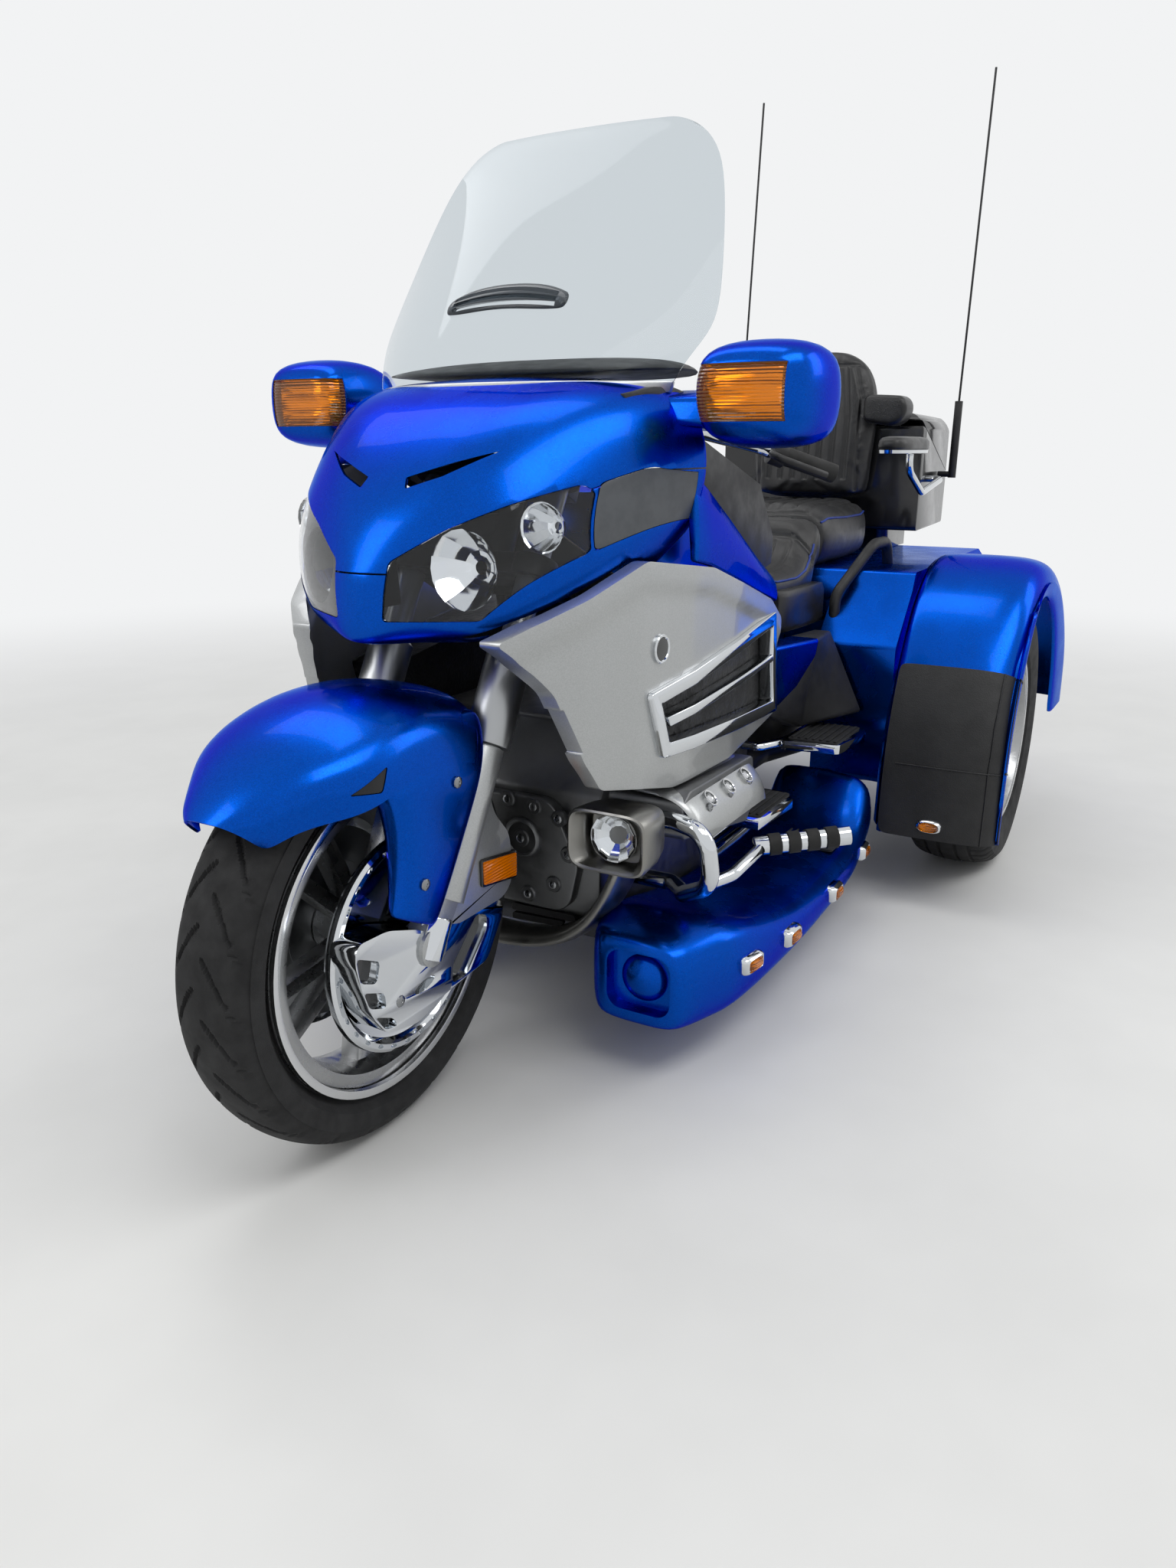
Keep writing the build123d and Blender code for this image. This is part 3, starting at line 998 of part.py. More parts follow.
save("exhausts", *both_sides(exhaust + exhaust_pipe))
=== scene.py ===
import bpy
import json
from math import cos, hypot, pi, radians, sin
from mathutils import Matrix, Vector


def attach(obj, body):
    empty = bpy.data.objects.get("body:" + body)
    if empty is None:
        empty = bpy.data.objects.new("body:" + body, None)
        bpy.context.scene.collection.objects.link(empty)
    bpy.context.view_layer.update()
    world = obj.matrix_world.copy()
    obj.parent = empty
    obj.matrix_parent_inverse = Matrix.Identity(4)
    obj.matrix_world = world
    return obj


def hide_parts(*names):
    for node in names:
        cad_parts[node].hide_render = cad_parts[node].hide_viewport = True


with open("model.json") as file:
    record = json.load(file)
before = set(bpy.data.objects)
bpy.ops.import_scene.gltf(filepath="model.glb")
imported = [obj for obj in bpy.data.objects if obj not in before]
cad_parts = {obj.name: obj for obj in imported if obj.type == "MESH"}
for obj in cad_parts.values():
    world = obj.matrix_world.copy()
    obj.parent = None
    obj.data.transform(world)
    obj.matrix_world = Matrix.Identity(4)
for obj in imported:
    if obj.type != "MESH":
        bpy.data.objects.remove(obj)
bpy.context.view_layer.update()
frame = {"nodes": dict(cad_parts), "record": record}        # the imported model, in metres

nodes = frame["nodes"]
record = frame["record"]
slotOf = {row["node"]: row["material_slot"] for row in record["subparts"]}
bodyOf = {node: body for body, members in record["behaviour"]["bodies"].items() for node in members}
# the centre of each wheel in millimetres
axleOf = {joint["child"]: tuple(round(c * 1000, 2) for c in joint["pos_m"])
          for joint in record["behaviour"]["joints"] if joint.get("continuous")}
rearSides = (("left", 1), ("right", -1))
print("frame:", len(nodes), "nodes")


# Materials

def hexColour(text):
    # sRGB hex to the linear colour that shader sockets take
    parts = [int(text[i:i + 2], 16) / 255 for i in (1, 3, 5)]
    return tuple(c / 12.92 if c <= 0.04045 else ((c + 0.055) / 1.055) ** 2.4 for c in parts) + (1.0,)


def addNode(tree, kind, settings, links=()):
    # a key that is a number or an input's name sets that input, any other key sets a property
    node = tree.nodes.new(kind)
    for key, value in settings.items():
        if isinstance(key, int) or key in node.inputs:
            node.inputs[key].default_value = value
        else:
            setattr(node, key, value)
    for key, source in links:
        tree.links.new(source, node.inputs[key])
    return node


def startFinish(name, colour, **sockets):
    # a Principled material with constants on its own sockets, and Object coordinates for patterns
    material = bpy.data.materials.new(name)
    material.use_nodes = True
    tree = material.node_tree
    shader = tree.nodes["Principled BSDF"]
    shader.inputs["Base Color"].default_value = hexColour(colour)
    for key, value in sockets.items():
        shader.inputs[key.replace("_", " ")].default_value = value
    place = addNode(tree, "ShaderNodeTexCoord", {}).outputs["Object"]
    return material, tree, shader, place


def tint(tree, shader, place, colourA, colourB, patchMm):
    # base colour drifts between two tones in patches of that size
    cloud = addNode(tree, "ShaderNodeTexNoise", {"Scale": 1000 / patchMm, "Detail": 3, "Roughness": 0.6},
                    [("Vector", place)])
    ramp = addNode(tree, "ShaderNodeValToRGB", {}, [("Fac", cloud.outputs["Fac"])])
    first, last = ramp.color_ramp.elements
    first.position, last.position = 0.38, 0.62
    first.color, last.color = hexColour(colourA), hexColour(colourB)
    tree.links.new(ramp.outputs["Color"], shader.inputs["Base Color"])


def handling(tree, shader, place, low, high, patchMm):
    # roughness drifts where hands, dust and polish have been
    cloud = addNode(tree, "ShaderNodeTexNoise", {"Scale": 1000 / patchMm, "Detail": 4}, [("Vector", place)])
    spread = addNode(tree, "ShaderNodeMapRange", {"From Min": 0.35, "From Max": 0.65, "To Min": low,
                                                  "To Max": high},
                     [("Value", cloud.outputs["Fac"])])
    tree.links.new(spread.outputs["Result"], shader.inputs["Roughness"])


def relief(tree, shader, height, depthMm, strength=1.0):
    bump = addNode(tree, "ShaderNodeBump", {"Distance": depthMm / 1000, "Strength": strength},
                   [("Height", height)])
    tree.links.new(bump.outputs["Normal"], shader.inputs["Normal"])


def paintFinish(name, colour, shade, edge, metal, rough, coat):
    # pearl or metallic base coat under polished clear lacquer: fine flake, a wet even gloss
    material, tree, shader, place = startFinish(name, colour, Metallic=metal, Roughness=rough,
                                                Coat_Weight=coat, Coat_Roughness=0.03, Coat_IOR=1.4,
                                                Specular_Tint=hexColour(edge))
    # real flake is 0.05 mm, drawn 1.2 mm coarse so that it shows
    flake = addNode(tree, "ShaderNodeTexVoronoi", {"Scale": 1000 / 1.2}, [("Vector", place)])
    mix = addNode(tree, "ShaderNodeValToRGB", {}, [("Fac", flake.outputs["Color"])])
    first, last = mix.color_ramp.elements
    first.color, last.color = hexColour(shade), hexColour(colour)
    tree.links.new(mix.outputs["Color"], shader.inputs["Base Color"])
    handling(tree, shader, place, rough - 0.03, rough + 0.04, 60)
    return material


def metalFinish(name, colour, low, high, grainMm=0.0, depthMm=0.0):
    # plated, cast or polished metal: its roughness drifts a little, and cast metal has a fine grain
    material, tree, shader, place = startFinish(name, colour, Metallic=1.0, Roughness=low)
    handling(tree, shader, place, low, high, 25)
    if grainMm:
        grain = addNode(tree, "ShaderNodeTexNoise", {"Scale": 1000 / grainMm, "Detail": 3},
                        [("Vector", place)])
        relief(tree, shader, grain.outputs["Fac"], depthMm)
    return material


def brushedFinish(name, colour, low, high):
    # ground or brushed steel: fine scratches run one way, about a millimetre apart
    material, tree, shader, place = startFinish(name, colour, Metallic=1.0, Roughness=low)
    stretch = addNode(tree, "ShaderNodeMapping", {"Scale": (30, 30, 1200)}, [("Vector", place)])
    lines = addNode(tree, "ShaderNodeTexNoise", {"Scale": 1.0, "Detail": 2},
                    [("Vector", stretch.outputs["Vector"])])
    spread = addNode(tree, "ShaderNodeMapRange", {"To Min": low, "To Max": high},
                     [("Value", lines.outputs["Fac"])])
    tree.links.new(spread.outputs["Result"], shader.inputs["Roughness"])
    relief(tree, shader, lines.outputs["Fac"], 0.05, 0.5)
    return material


def mouldedFinish(name, colour, shade, low, high, grainMm, depthMm, coat=0.0):
    # injection-moulded plastic or rubber with a spark-eroded grain
    material, tree, shader, place = startFinish(name, colour, Roughness=low, Coat_Weight=coat,
                                                Coat_Roughness=0.08, Specular_IOR_Level=0.36)
    tint(tree, shader, place, colour, shade, 40)
    handling(tree, shader, place, low, high, 30)
    grain = addNode(tree, "ShaderNodeTexVoronoi", {"Scale": 1000 / grainMm}, [("Vector", place)])
    relief(tree, shader, grain.outputs["Distance"], depthMm)
    return material


def hideFinish(name, colour, shade, low, high, pebbleMm):
    # coated leathercloth: pebbled skin, soft sheen, creases a little lighter where it is stretched
    material, tree, shader, place = startFinish(name, colour, Roughness=low, Sheen_Weight=0.03,
                                                Specular_IOR_Level=0.45)
    tint(tree, shader, place, colour, shade, 55)
    handling(tree, shader, place, low, high, 35)
    pebble = addNode(tree, "ShaderNodeTexVoronoi", {"feature": "SMOOTH_F1", "Scale": 1000 / pebbleMm,
                                                    "Smoothness": 0.4}, [("Vector", place)])
    fine = addNode(tree, "ShaderNodeTexNoise", {"Scale": 1000 / (pebbleMm * 4), "Detail": 4},
                   [("Vector", place)])
    both = addNode(tree, "ShaderNodeMath", {"operation": "ADD"}, [(0, pebble.outputs["Distance"]),
                                                                   (1, fine.outputs["Fac"])])
    relief(tree, shader, both.outputs["Value"], 0.5, 0.6)
    return material


def clearFinish(name, colour, rough, ior, clear=1.0, ribMm=0.0):
    # clear or tinted polycarbonate; a lens has moulded ribs inside
    material, tree, shader, place = startFinish(name, colour, Roughness=rough, IOR=ior,
                                                Transmission_Weight=clear)
    if ribMm:
        ribs = addNode(tree, "ShaderNodeTexWave", {"wave_profile": "TRI", "bands_direction": "Z",
                                                   "Scale": 2 * pi * 1000 / ribMm / 20},
                       [("Vector", place)])
        relief(tree, shader, ribs.outputs["Fac"], 1.5)
    return material


finishes = {
    "blue_paint": paintFinish("pearl blue lacquer", "#0050BC", "#0040A0", "#0896FF", 1.0, 0.26, 0.12),
    "silver_paint": paintFinish("silver metallic lacquer", "#B2B4B4", "#A2A4A4", "#FFFFFF", 0.75, 0.34,
                                0.6),
    "frame_paint": mouldedFinish("black stoved enamel on steel", "#141416", "#1B1B1D", 0.32, 0.45, 3.0,
                                 0.05),
    "chrome": metalFinish("polished chrome plate", "#CFD2D5", 0.03, 0.08),
    "cast_alloy": metalFinish("painted cast aluminium", "#6C6D6E", 0.40, 0.52, 1.6, 0.12),
    "polished_alloy": metalFinish("polished aluminium", "#D2D3D4", 0.12, 0.2),
    "brushed_cover": brushedFinish("brushed steel cover", "#A9ABAD", 0.26, 0.40),
    "disc_steel": brushedFinish("ground disc steel", "#8E9092", 0.25, 0.38),
    "black_plastic": mouldedFinish("black grained ABS", "#151517", "#1C1C1E", 0.45, 0.6, 1.2, 0.12),
    "black_gloss": mouldedFinish("gloss black ABS", "#0C0C0E", "#121214", 0.16, 0.24, 6.0, 0.02, 0.5),
    "grey_plastic": mouldedFinish("satin grey ABS", "#4B4E52", "#54575B", 0.38, 0.48, 1.5, 0.06),
    "leather": hideFinish("black leathercloth", "#0A0A0C", "#101012", 0.30, 0.42, 1.8),
    "rubber": mouldedFinish("black rubber", "#191919", "#222222", 0.65, 0.8, 1.0, 0.1),
    "tyre": mouldedFinish("tyre rubber", "#1A1A1B", "#232324", 0.7, 0.85, 1.4, 0.1),
    "clear_screen": clearFinish("clear polycarbonate", "#D6DDE1", 0.0, 1.12),
    "clear_lens": clearFinish("clear lens polycarbonate", "#F6F8FA", 0.0, 1.3),
    "amber_lens": clearFinish("amber ribbed lens", "#FF9010", 0.08, 1.4, 0.85, 5.0),
    "red_lens": clearFinish("red ribbed lens", "#D41414", 0.1, 1.45, 0.45, 5.0),
}
vinyl = hideFinish("black vinyl cover cloth", "#131314", "#1B1B1C", 0.48, 0.6, 2.4)
lampBlack = mouldedFinish("lamp housing black", "#060607", "#0A0A0B", 0.45, 0.6, 5.0, 0.02)
rimSilver = metalFinish("machined and lacquered cast alloy", "#A4A5A6", 0.24, 0.34)
amberBlock = clearFinish("amber reflector block", "#FF8400", 0.08, 1.45, 0.3, 5.0)
blueWelt = mouldedFinish("blue piping cord", "#14307E", "#1A3A90", 0.4, 0.5, 2.0, 0.05)
titanium = metalFinish("satin titanium lacquer", "#8B8A86", 0.3, 0.42, 1.4, 0.05)
smoked = clearFinish("smoked polycarbonate", "#5A6066", 0.05, 1.3, 0.6)
boltSteel = metalFinish("zinc-plated screw steel", "#8C8E90", 0.2, 0.32)
meshBlack = mouldedFinish("black mesh", "#0B0B0C", "#101011", 0.5, 0.65, 7.0, 1.2)
bowlSilver = metalFinish("vacuum-coated reflector", "#E8E9EA", 0.05, 0.1)
for name, obj in nodes.items():
    obj.data.materials.clear()
    obj.data.materials.append(finishes[slotOf[name]])
print("materials:", len(bpy.data.materials))


# Tools for shaping

def focus(obj):
    if bpy.context.object and bpy.context.object.mode != "OBJECT":
        bpy.ops.object.mode_set(mode="OBJECT")
    bpy.ops.object.select_all(action="DESELECT")
    if obj:
        obj.select_set(True)
        bpy.context.view_layer.objects.active = obj


def applyModifier(obj, kind, **settings):
    focus(obj)
    modifier = obj.modifiers.new(kind.lower(), kind)
    for key, value in settings.items():
        setattr(modifier, key, value)
    bpy.ops.object.modifier_apply(modifier=modifier.name)


def rounded(obj, levels):
    applyModifier(obj, "SUBSURF", levels=levels, render_levels=levels)


def inEdit(obj, *steps):
    # runs edit-mode steps on the whole mesh
    focus(obj)
    bpy.ops.object.mode_set(mode="EDIT")
    bpy.ops.mesh.select_all(action="SELECT")
    for step in steps:
        step()
    bpy.ops.object.mode_set(mode="OBJECT")


def outward():
    bpy.ops.mesh.normals_make_consistent(inside=False)


def mergeDoubles():
    bpy.ops.mesh.remove_doubles(threshold=0.00002)


def closeEnds():
    bpy.ops.mesh.fill_holes(sides=0)


def cage(name, rows, ring=False, closed=False):
    # a grid primitive laid on the rows of a table, in millimetres
    focus(None)
    width = len(rows[0]) + (1 if ring else 0)
    bpy.ops.mesh.primitive_grid_add(x_subdivisions=width - 1, y_subdivisions=len(rows) - 1, size=1)
    obj = bpy.context.object
    obj.name = name
    points = [p for row in rows for p in (list(row) + ([row[0]] if ring else []))]
    obj.data.vertices.foreach_set("co", [c / 1000 for p in points for c in p])
    obj.data.update()
    inEdit(obj, mergeDoubles, *([closeEnds] if closed else []), outward)
    return obj


def plate(name, outline, axis, low, high, corner=0.0, segments=4):
    # an outline drawn square to one axis, its corners rounded, and extruded from low to high
    focus(None)
    bpy.ops.mesh.primitive_circle_add(vertices=len(outline), fill_type="NGON")
    obj = bpy.context.object
    obj.name = name
    at = "xyz".index(axis)
    places = [(*point[:at], low, *point[at:]) for point in outline]
    obj.data.vertices.foreach_set("co", [c / 1000 for place in places for c in place])
    obj.data.update()
    move = [(high - low) / 1000 if axis == a else 0.0 for a in "xyz"]

    def roundCorners():
        if corner:
            bpy.ops.mesh.bevel(offset=corner / 1000, segments=segments, affect="VERTICES")

    def pull():
        bpy.ops.mesh.select_all(action="SELECT")
        bpy.ops.mesh.extrude_region_move(TRANSFORM_OT_translate={"value": move})
        bpy.ops.mesh.select_all(action="SELECT")

    inEdit(obj, roundCorners, pull, outward)
    return obj


def carve(obj, cutter, operation="DIFFERENCE", keep=False):
    applyModifier(obj, "BOOLEAN", object=cutter, operation=operation, solver="EXACT")
    if not keep:
        bpy.data.objects.remove(cutter)


def bevelled(obj, widthMm, angle=30, segments=2):
    applyModifier(obj, "BEVEL", width=widthMm / 1000, segments=segments, limit_method="ANGLE",
                  angle_limit=radians(angle))


def shelled(obj, wallMm, offset=-1):
    applyModifier(obj, "SOLIDIFY", thickness=wallMm / 1000, offset=offset)


def mirrorSides(*parts):
    for part in parts:
        applyModifier(part, "MIRROR", use_axis=(False, True, False), use_bisect_axis=(False, False, False),
                      use_clip=False, use_mirror_merge=False)


def bothSides(cutter):
    mirrorSides(cutter)
    return cutter


def joined(parts, name):
    focus(parts[0])
    for part in parts:
        part.select_set(True)
    if len(parts) > 1:
        bpy.ops.object.join()
    obj = bpy.context.object
    obj.name = name
    return obj


def copyOf(obj, name):
    twin = obj.copy()
    twin.data = obj.data.copy()
    twin.name = name
    bpy.context.scene.collection.objects.link(twin)
    return twin


def cadCopy(node, name, widthMm=1.5, angle=32):
    # a copy of a CAD node with its loose triangles merged and its edges softened
    twin = copyOf(nodes[node], name)
    for key in list(twin.keys()):
        del twin[key]
    twin.parent = None
    inEdit(twin, mergeDoubles, lambda: bpy.ops.mesh.dissolve_limited(angle_limit=radians(1.5)))
    if widthMm:
        bevelled(twin, widthMm, angle)
    return twin


def paintOn(obj, material):
    obj.data.materials.clear()
    obj.data.materials.append(material)
    return obj


def around(count):
    # cosine and sine at even steps round a circle
    return [(cos(2 * pi * i / count), sin(2 * pi * i / count)) for i in range(count)]


def evenly(count):
    # even steps from -1 to 1
    return [-1 + 2 * i / count for i in range(count + 1)]


def between(low, value, high):
    return min(high, max(low, value))


def runAt(points, i):
    # the way a line of points runs at one of them
    return (Vector(points[min(len(points) - 1, i + 1)]) - Vector(points[max(0, i - 1)])).normalized()


def bothHalves(half):
    # a half section from its ridge down, laid from one foot over the ridge to the other
    return half[::-1] + [(x, -y, z) for x, y, z in half[1:]]


def symmetric(first, half, last):
    # a ring that runs from its first point down one side to its last, and back up the other side
    return [first] + half + [last] + [(x, -y, z) for x, y, z in half[::-1]]


def turned(name, profile, foot, direction, steps=32, capped=True):
    # a profile of (distance along, radius) turned about an axis through foot, in millimetres
    axis = Vector(direction).normalized()
    across = axis.cross(Vector((0, 0, 1) if abs(axis.z) < 0.9 else (1, 0, 0))).normalized()
    up = axis.cross(across)
    rows = []
    for far, r in profile:
        centre = Vector(foot) + axis * far
        rows.append([tuple(centre + across * (r * c) + up * (r * s)) for c, s in around(steps)])
    return cage(name, rows, ring=True, closed=capped)


def stack(name, layers, place, direction, power=2.0, steps=28):
    # superellipse rings (distance, half width, half height) set along a direction, in millimetres
    axis = Vector(direction).normalized()
    across = Vector((0, 0, 1)).cross(axis).normalized() if abs(axis.z) < 0.9 else Vector((1, 0, 0))
    up = axis.cross(across)
    rings = []
    for far, w, h in layers:
        ring = []
        for c, s in around(steps):
            u = w * abs(c) ** (2 / power) * (1 if c > 0 else -1)
            v = h * abs(s) ** (2 / power) * (1 if s > 0 else -1)
            ring.append(tuple(Vector(place) + axis * far + across * u + up * v))
        rings.append(ring)
    return cage(name, rings, ring=True, closed=True)


def bowlRows(place, radius, deep, taper, layers, facets, ripple):
    # a faceted reflector that opens forward, from its mouth back to its foot
    x, y, z = place
    rows = []
    for k in range(layers + 1):
        t = k / layers
        r, back = radius * (1 - taper * t), deep * (1 - (1 - t) ** 2)
        rows.append([(x - back, y + r * (1 + ripple * (i % 2)) * c, z + r * (1 + ripple * (i % 2)) * s)
                     for i, (c, s) in enumerate(around(facets))])
    return rows


def screwHeads(name, places, direction, radiusMm, tallMm):
    # domed screw heads: one profile set at each place
    heads = [turned("head", [(-tallMm, radiusMm * 0.9), (0, radiusMm), (tallMm * 0.5, radiusMm * 0.94),
                             (tallMm, radiusMm * 0.6), (tallMm, radiusMm * 0.3),
                             (tallMm * 0.6, radiusMm * 0.24), (tallMm * 0.6, 0)], place, direction, 12)
             for place in places]
    return joined(heads, name)


def settle(obj, body, slot, swaps=(), smooth=35, material=None):
    # last step of each piece: its finish, its shading, and what it rides on and replaces
    if material or not obj.data.materials:
        paintOn(obj, material or finishes[slot])
    focus(obj)
    bpy.ops.object.transform_apply(location=True, rotation=True, scale=True)
    if smooth:
        bpy.ops.object.shade_smooth_by_angle(angle=radians(smooth))
    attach(obj, body)
    if swaps:
        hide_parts(*swaps)
    return obj


# Nose fairing: half sections along x, mirrored. Each row is x, then (y, z) from the ridge down. The first
# row is drawn in, by a share in y and in z, and closes on a tip
nose = {
    "rows": [
        (990, (0, 846), (12, 846), (22, 836), (28, 812), (27, 780), (24, 756), (0, 750)),
        (984, (0, 862), (18, 860), (36, 848), (50, 818), (48, 780), (42, 752), (0, 746)),
        (966, (0, 906), (22, 904), (46, 896), (78, 862), (86, 826), (78, 750), (0, 742)),
        (926, (0, 963), (42, 960), (86, 950), (140, 904), (168, 850), (153, 750), (0, 742)),
        (880, (0, 1009), (62, 1005), (126, 998), (192, 940), (224, 868), (200, 748), (100, 742)),
        (820, (0, 1057), (84, 1052), (170, 1045), (232, 972), (259, 890), (230, 752), (130, 746)),
        (750, (0, 1095), (108, 1090), (217, 1082), (266, 998), (285, 905), (253, 764), (160, 760)),
        (680, (0, 1121), (126, 1115), (255, 1104), (296, 1018), (309, 925), (273, 794), (200, 792)),
        (600, (0, 1127), (138, 1122), (280, 1114), (318, 1034), (329, 950), (290, 832), (240, 832)),
        (540, (0, 1123), (143, 1119), (289, 1113), (328, 1044), (337, 970), (301, 872), (260, 872)),
    ],
    "wall": 4.0,
    "headlight": [(40, 782), (47, 864), (115, 908), (190, 943), (250, 967), (263, 957), (263, 873),
                  (212, 832), (170, 793), (158, 782)],
    "lampEnd": [(264, 968), (300, 990), (345, 975), (345, 930), (300, 900), (264, 872)],
    "slot": [(34, 976), (40, 961), (90, 978), (153, 1012), (96, 996)],
    "seam": [(-400, 990), (-315, 986), (-264, 964), (-160, 900), (-47, 849), (47, 849), (160, 900),
             (264, 964), (315, 986), (400, 990)],
    "cowlTop": [(924, 752), (884, 778), (700, 855), (499, 829), (231, 747)],
    "tipZ": 800, "tipDraw": (0.45, 0.6),
    "split": 2.5, "edge": 1.2,
}


def noseCage(name, inset=0.0, back=0.0, solid=False):
    rows = []
    for x, *half in nose["rows"]:
        # the first three points of a half section are the top, which sinks by the inset
        moved = [(x - back, max(0.0, y - inset) if y else 0.0, z - inset if i < 3 else z)
                 for i, (y, z) in enumerate(half)]
        rows.append(bothHalves(moved))
    tipZ = nose["tipZ"]
    drawY, drawZ = nose["tipDraw"]
    front = [(x + 2, y * drawY, tipZ + (z - tipZ) * drawZ) for x, y, z in rows[0]]
    tip = [(front[0][0] + 1, 0, tipZ)] * len(front)
    obj = cage(name, [tip, front] + rows, ring=solid, closed=solid)
    rounded(obj, 3)
    return obj


def grownOutline(outline, gap):
    # every side of a closed outline moved out by gap
    area = sum(a[0] * b[1] - b[0] * a[1] for a, b in zip(outline, outline[1:] + outline[:1]))
    turn = -1 if area > 0 else 1
    grown = []
    for before, here, after in zip(outline[-1:] + outline[:-1], outline, outline[1:] + outline[:1]):
        u = Vector((here[0] - before[0], here[1] - before[1])).normalized()
        v = Vector((after[0] - here[0], after[1] - here[1])).normalized()
        shift = gap * turn / max(0.2, 1 + u.dot(v))
        grown.append((here[0] - (u.y + v.y) * shift, here[1] + (u.x + v.x) * shift))
    return grown


def noseHoles(outline, gap=0.0, low=560):
    return bothSides(plate("cutter", grownOutline(outline, gap), "x", low, 1100, 6))


lower = noseCage("noseLower")
shelled(lower, nose["wall"])
carve(lower, noseHoles(nose["headlight"]))
carve(lower, noseHoles(nose["lampEnd"]))
carve(lower, bothSides(plate("cutter", nose["slot"], "x", 780, 1100, 3)))
cowlRoom = [(x, z + 1) for x, z in nose["cowlTop"]] + [(100, 700), (100, 500), (924, 500)]
carve(lower, bothSides(plate("cutter", cowlRoom, "y", 120, 500)))
upper = copyOf(lower, "noseUpper")
carve(upper, plate("cutter", nose["seam"] + [(400, 1300), (-400, 1300)], "x", 400, 1100), "INTERSECT")
below = [(y, z - nose["split"]) for y, z in nose["seam"]]
carve(lower, plate("cutter", below + [(400, 600), (-400, 600)], "x", 100, 1100), "INTERSECT")
for part in (upper, lower):
    bevelled(part, nose["edge"], 50)
settle(upper, "chassis", "blue_paint", ["fairing_upper"])
print("nose")

# Blue side wings that run back along the cowl: x, outer y, top z, low z
sideWing = {
    "rows": [(560, 331, 984, 842), (500, 331, 957, 830), (400, 330, 904, 800), (260, 327, 828, 757),
             (165, 324, 782, 732)],
    "wall": 14,
}
rings = []
for x, y, high, low in sideWing["rows"]:
    deep = y - sideWing["wall"]
    rings.append([(x, deep - 12, high - 3), (x, y - 14, high), (x, y - 4, (high * 2 + low) / 3),
                  (x, y, (high + 2 * low) / 3), (x, y - 1, low + 2), (x, deep, low)])
wing = cage("sideWings", rings, ring=True, closed=True)
bevelled(wing, 5, 40, 3)
mirrorSides(wing)
lower = joined([lower, wing], "noseLower")
settle(lower, "chassis", "blue_paint", ["fairing_lower"])

# Headlights: a clear cover over a black housing with two bowls each, given by mouth and radius. The housing
# ends ahead of where the steered fork swings to
lamp = {
    "bowls": [((890, 116, 849), 55), ((832, 212, 908), 33)],
    "depth": 42, "facets": 20, "rim": 3, "room": 200, "roomAhead": 56,
    "rear": 840,
}
cover = noseCage("headlightCovers", 1.0, 0.6)
shelled(cover, 3)
carve(cover, noseHoles(nose["headlight"], -1.0), "INTERSECT")
settle(cover, "chassis", "clear_lens", ["headlights"])
bucket = noseCage("headlightBuckets", 5.0, 6.0, True)
carve(bucket, noseHoles(nose["headlight"], -1.2, lamp["rear"]), "INTERSECT")
bowls = []
for (x, y, z), r in lamp["bowls"]:
    bpy.ops.object.select_all(action="DESELECT")
    bpy.ops.mesh.primitive_cylinder_add(
        vertices=lamp["facets"] * 2, radius=r / 1000, depth=lamp["room"] / 1000,
        location=(x / 1000 + lamp["roomAhead"] / 1000, y / 1000, z / 1000), rotation=(0, pi / 2, 0))
    room = bpy.context.object
    mirrorRoom = copyOf(room, "cutter")
    mirrorRoom.location.y = -mirrorRoom.location.y
    carve(bucket, room)
    carve(bucket, mirrorRoom)
    wide = r + lamp["rim"]
    rim = [(x + lamp["rim"], y + wide * c, z + wide * s) for c, s in around(lamp["facets"])]
    bowl = cage("bowl", [rim] + bowlRows((x, y, z), r, lamp["depth"], 0.82, 6, lamp["facets"], 0.03),
                ring=True)
    mirrorSides(bowl)
    bowls.append(paintOn(bowl, bowlSilver))
settle(bucket, "chassis", "black_gloss", ["headlights"], material=lampBlack)
settle(joined(bowls, "headlightBowls"), "chassis", "polished_alloy", ["headlights"], smooth=12)
ends = noseCage("headlightEnds", 0.6, 0.4)
shelled(ends, 12)
carve(ends, noseHoles(nose["lampEnd"], -1.0), "INTERSECT")
bevelled(ends, 1.2, 50)
settle(ends, "chassis", "grey_plastic", ["headlight_ends"])
print("headlights")

# Windscreen: level arcs. Columns: z, centre x, edge x, half width
screen = {
    "rows": [(1098, 712, 566, 280), (1128, 690, 558, 288), (1165, 662, 526, 306), (1200, 632, 494, 320),
             (1255, 586, 462, 314), (1312, 538, 432, 303), (1400, 464, 388, 284), (1470, 404, 354, 261),
             (1515, 366, 338, 222), (1534, 348, 334, 176)],
    "columns": 16, "power": 2.2, "wall": 4.0,
}


def screenPoint(row, t):
    # t from -1 to 1 across one level arc
    z, centre, edge, half = row
    return (edge + (centre - edge) * (1 - abs(t) ** screen["power"]), half * t, z)


sheet = cage("windscreenSheet", [[screenPoint(row, t) for t in evenly(screen["columns"])]
                                 for row in screen["rows"]])
rounded(sheet, 2)
shelled(sheet, screen["wall"], 0)
settle(sheet, "chassis", "clear_screen", ["windscreen"], smooth=60)
print("screen")

# Mirrors: rounded shells with a ribbed amber lamp let into the front
mirror = {
    "rings": [(636, 366, 462, 1066, 1120), (630, 350, 486, 1044, 1142), (614, 341, 508, 1026, 1158),
              (580, 337, 520, 1017, 1168), (540, 336, 524, 1013, 1171), (490, 338, 524, 1015, 1168),
              (452, 346, 514, 1024, 1156), (442, 360, 498, 1038, 1142)],
    "lens": [(700, 320), (700, 476), (598, 490), (598, 320)],
    "lensZ": (1052, 1132), "lensWall": 12,
    "foot": [(490, 1040), (596, 1048), (586, 1090), (490, 1104)], "footY": (262, 372),
}


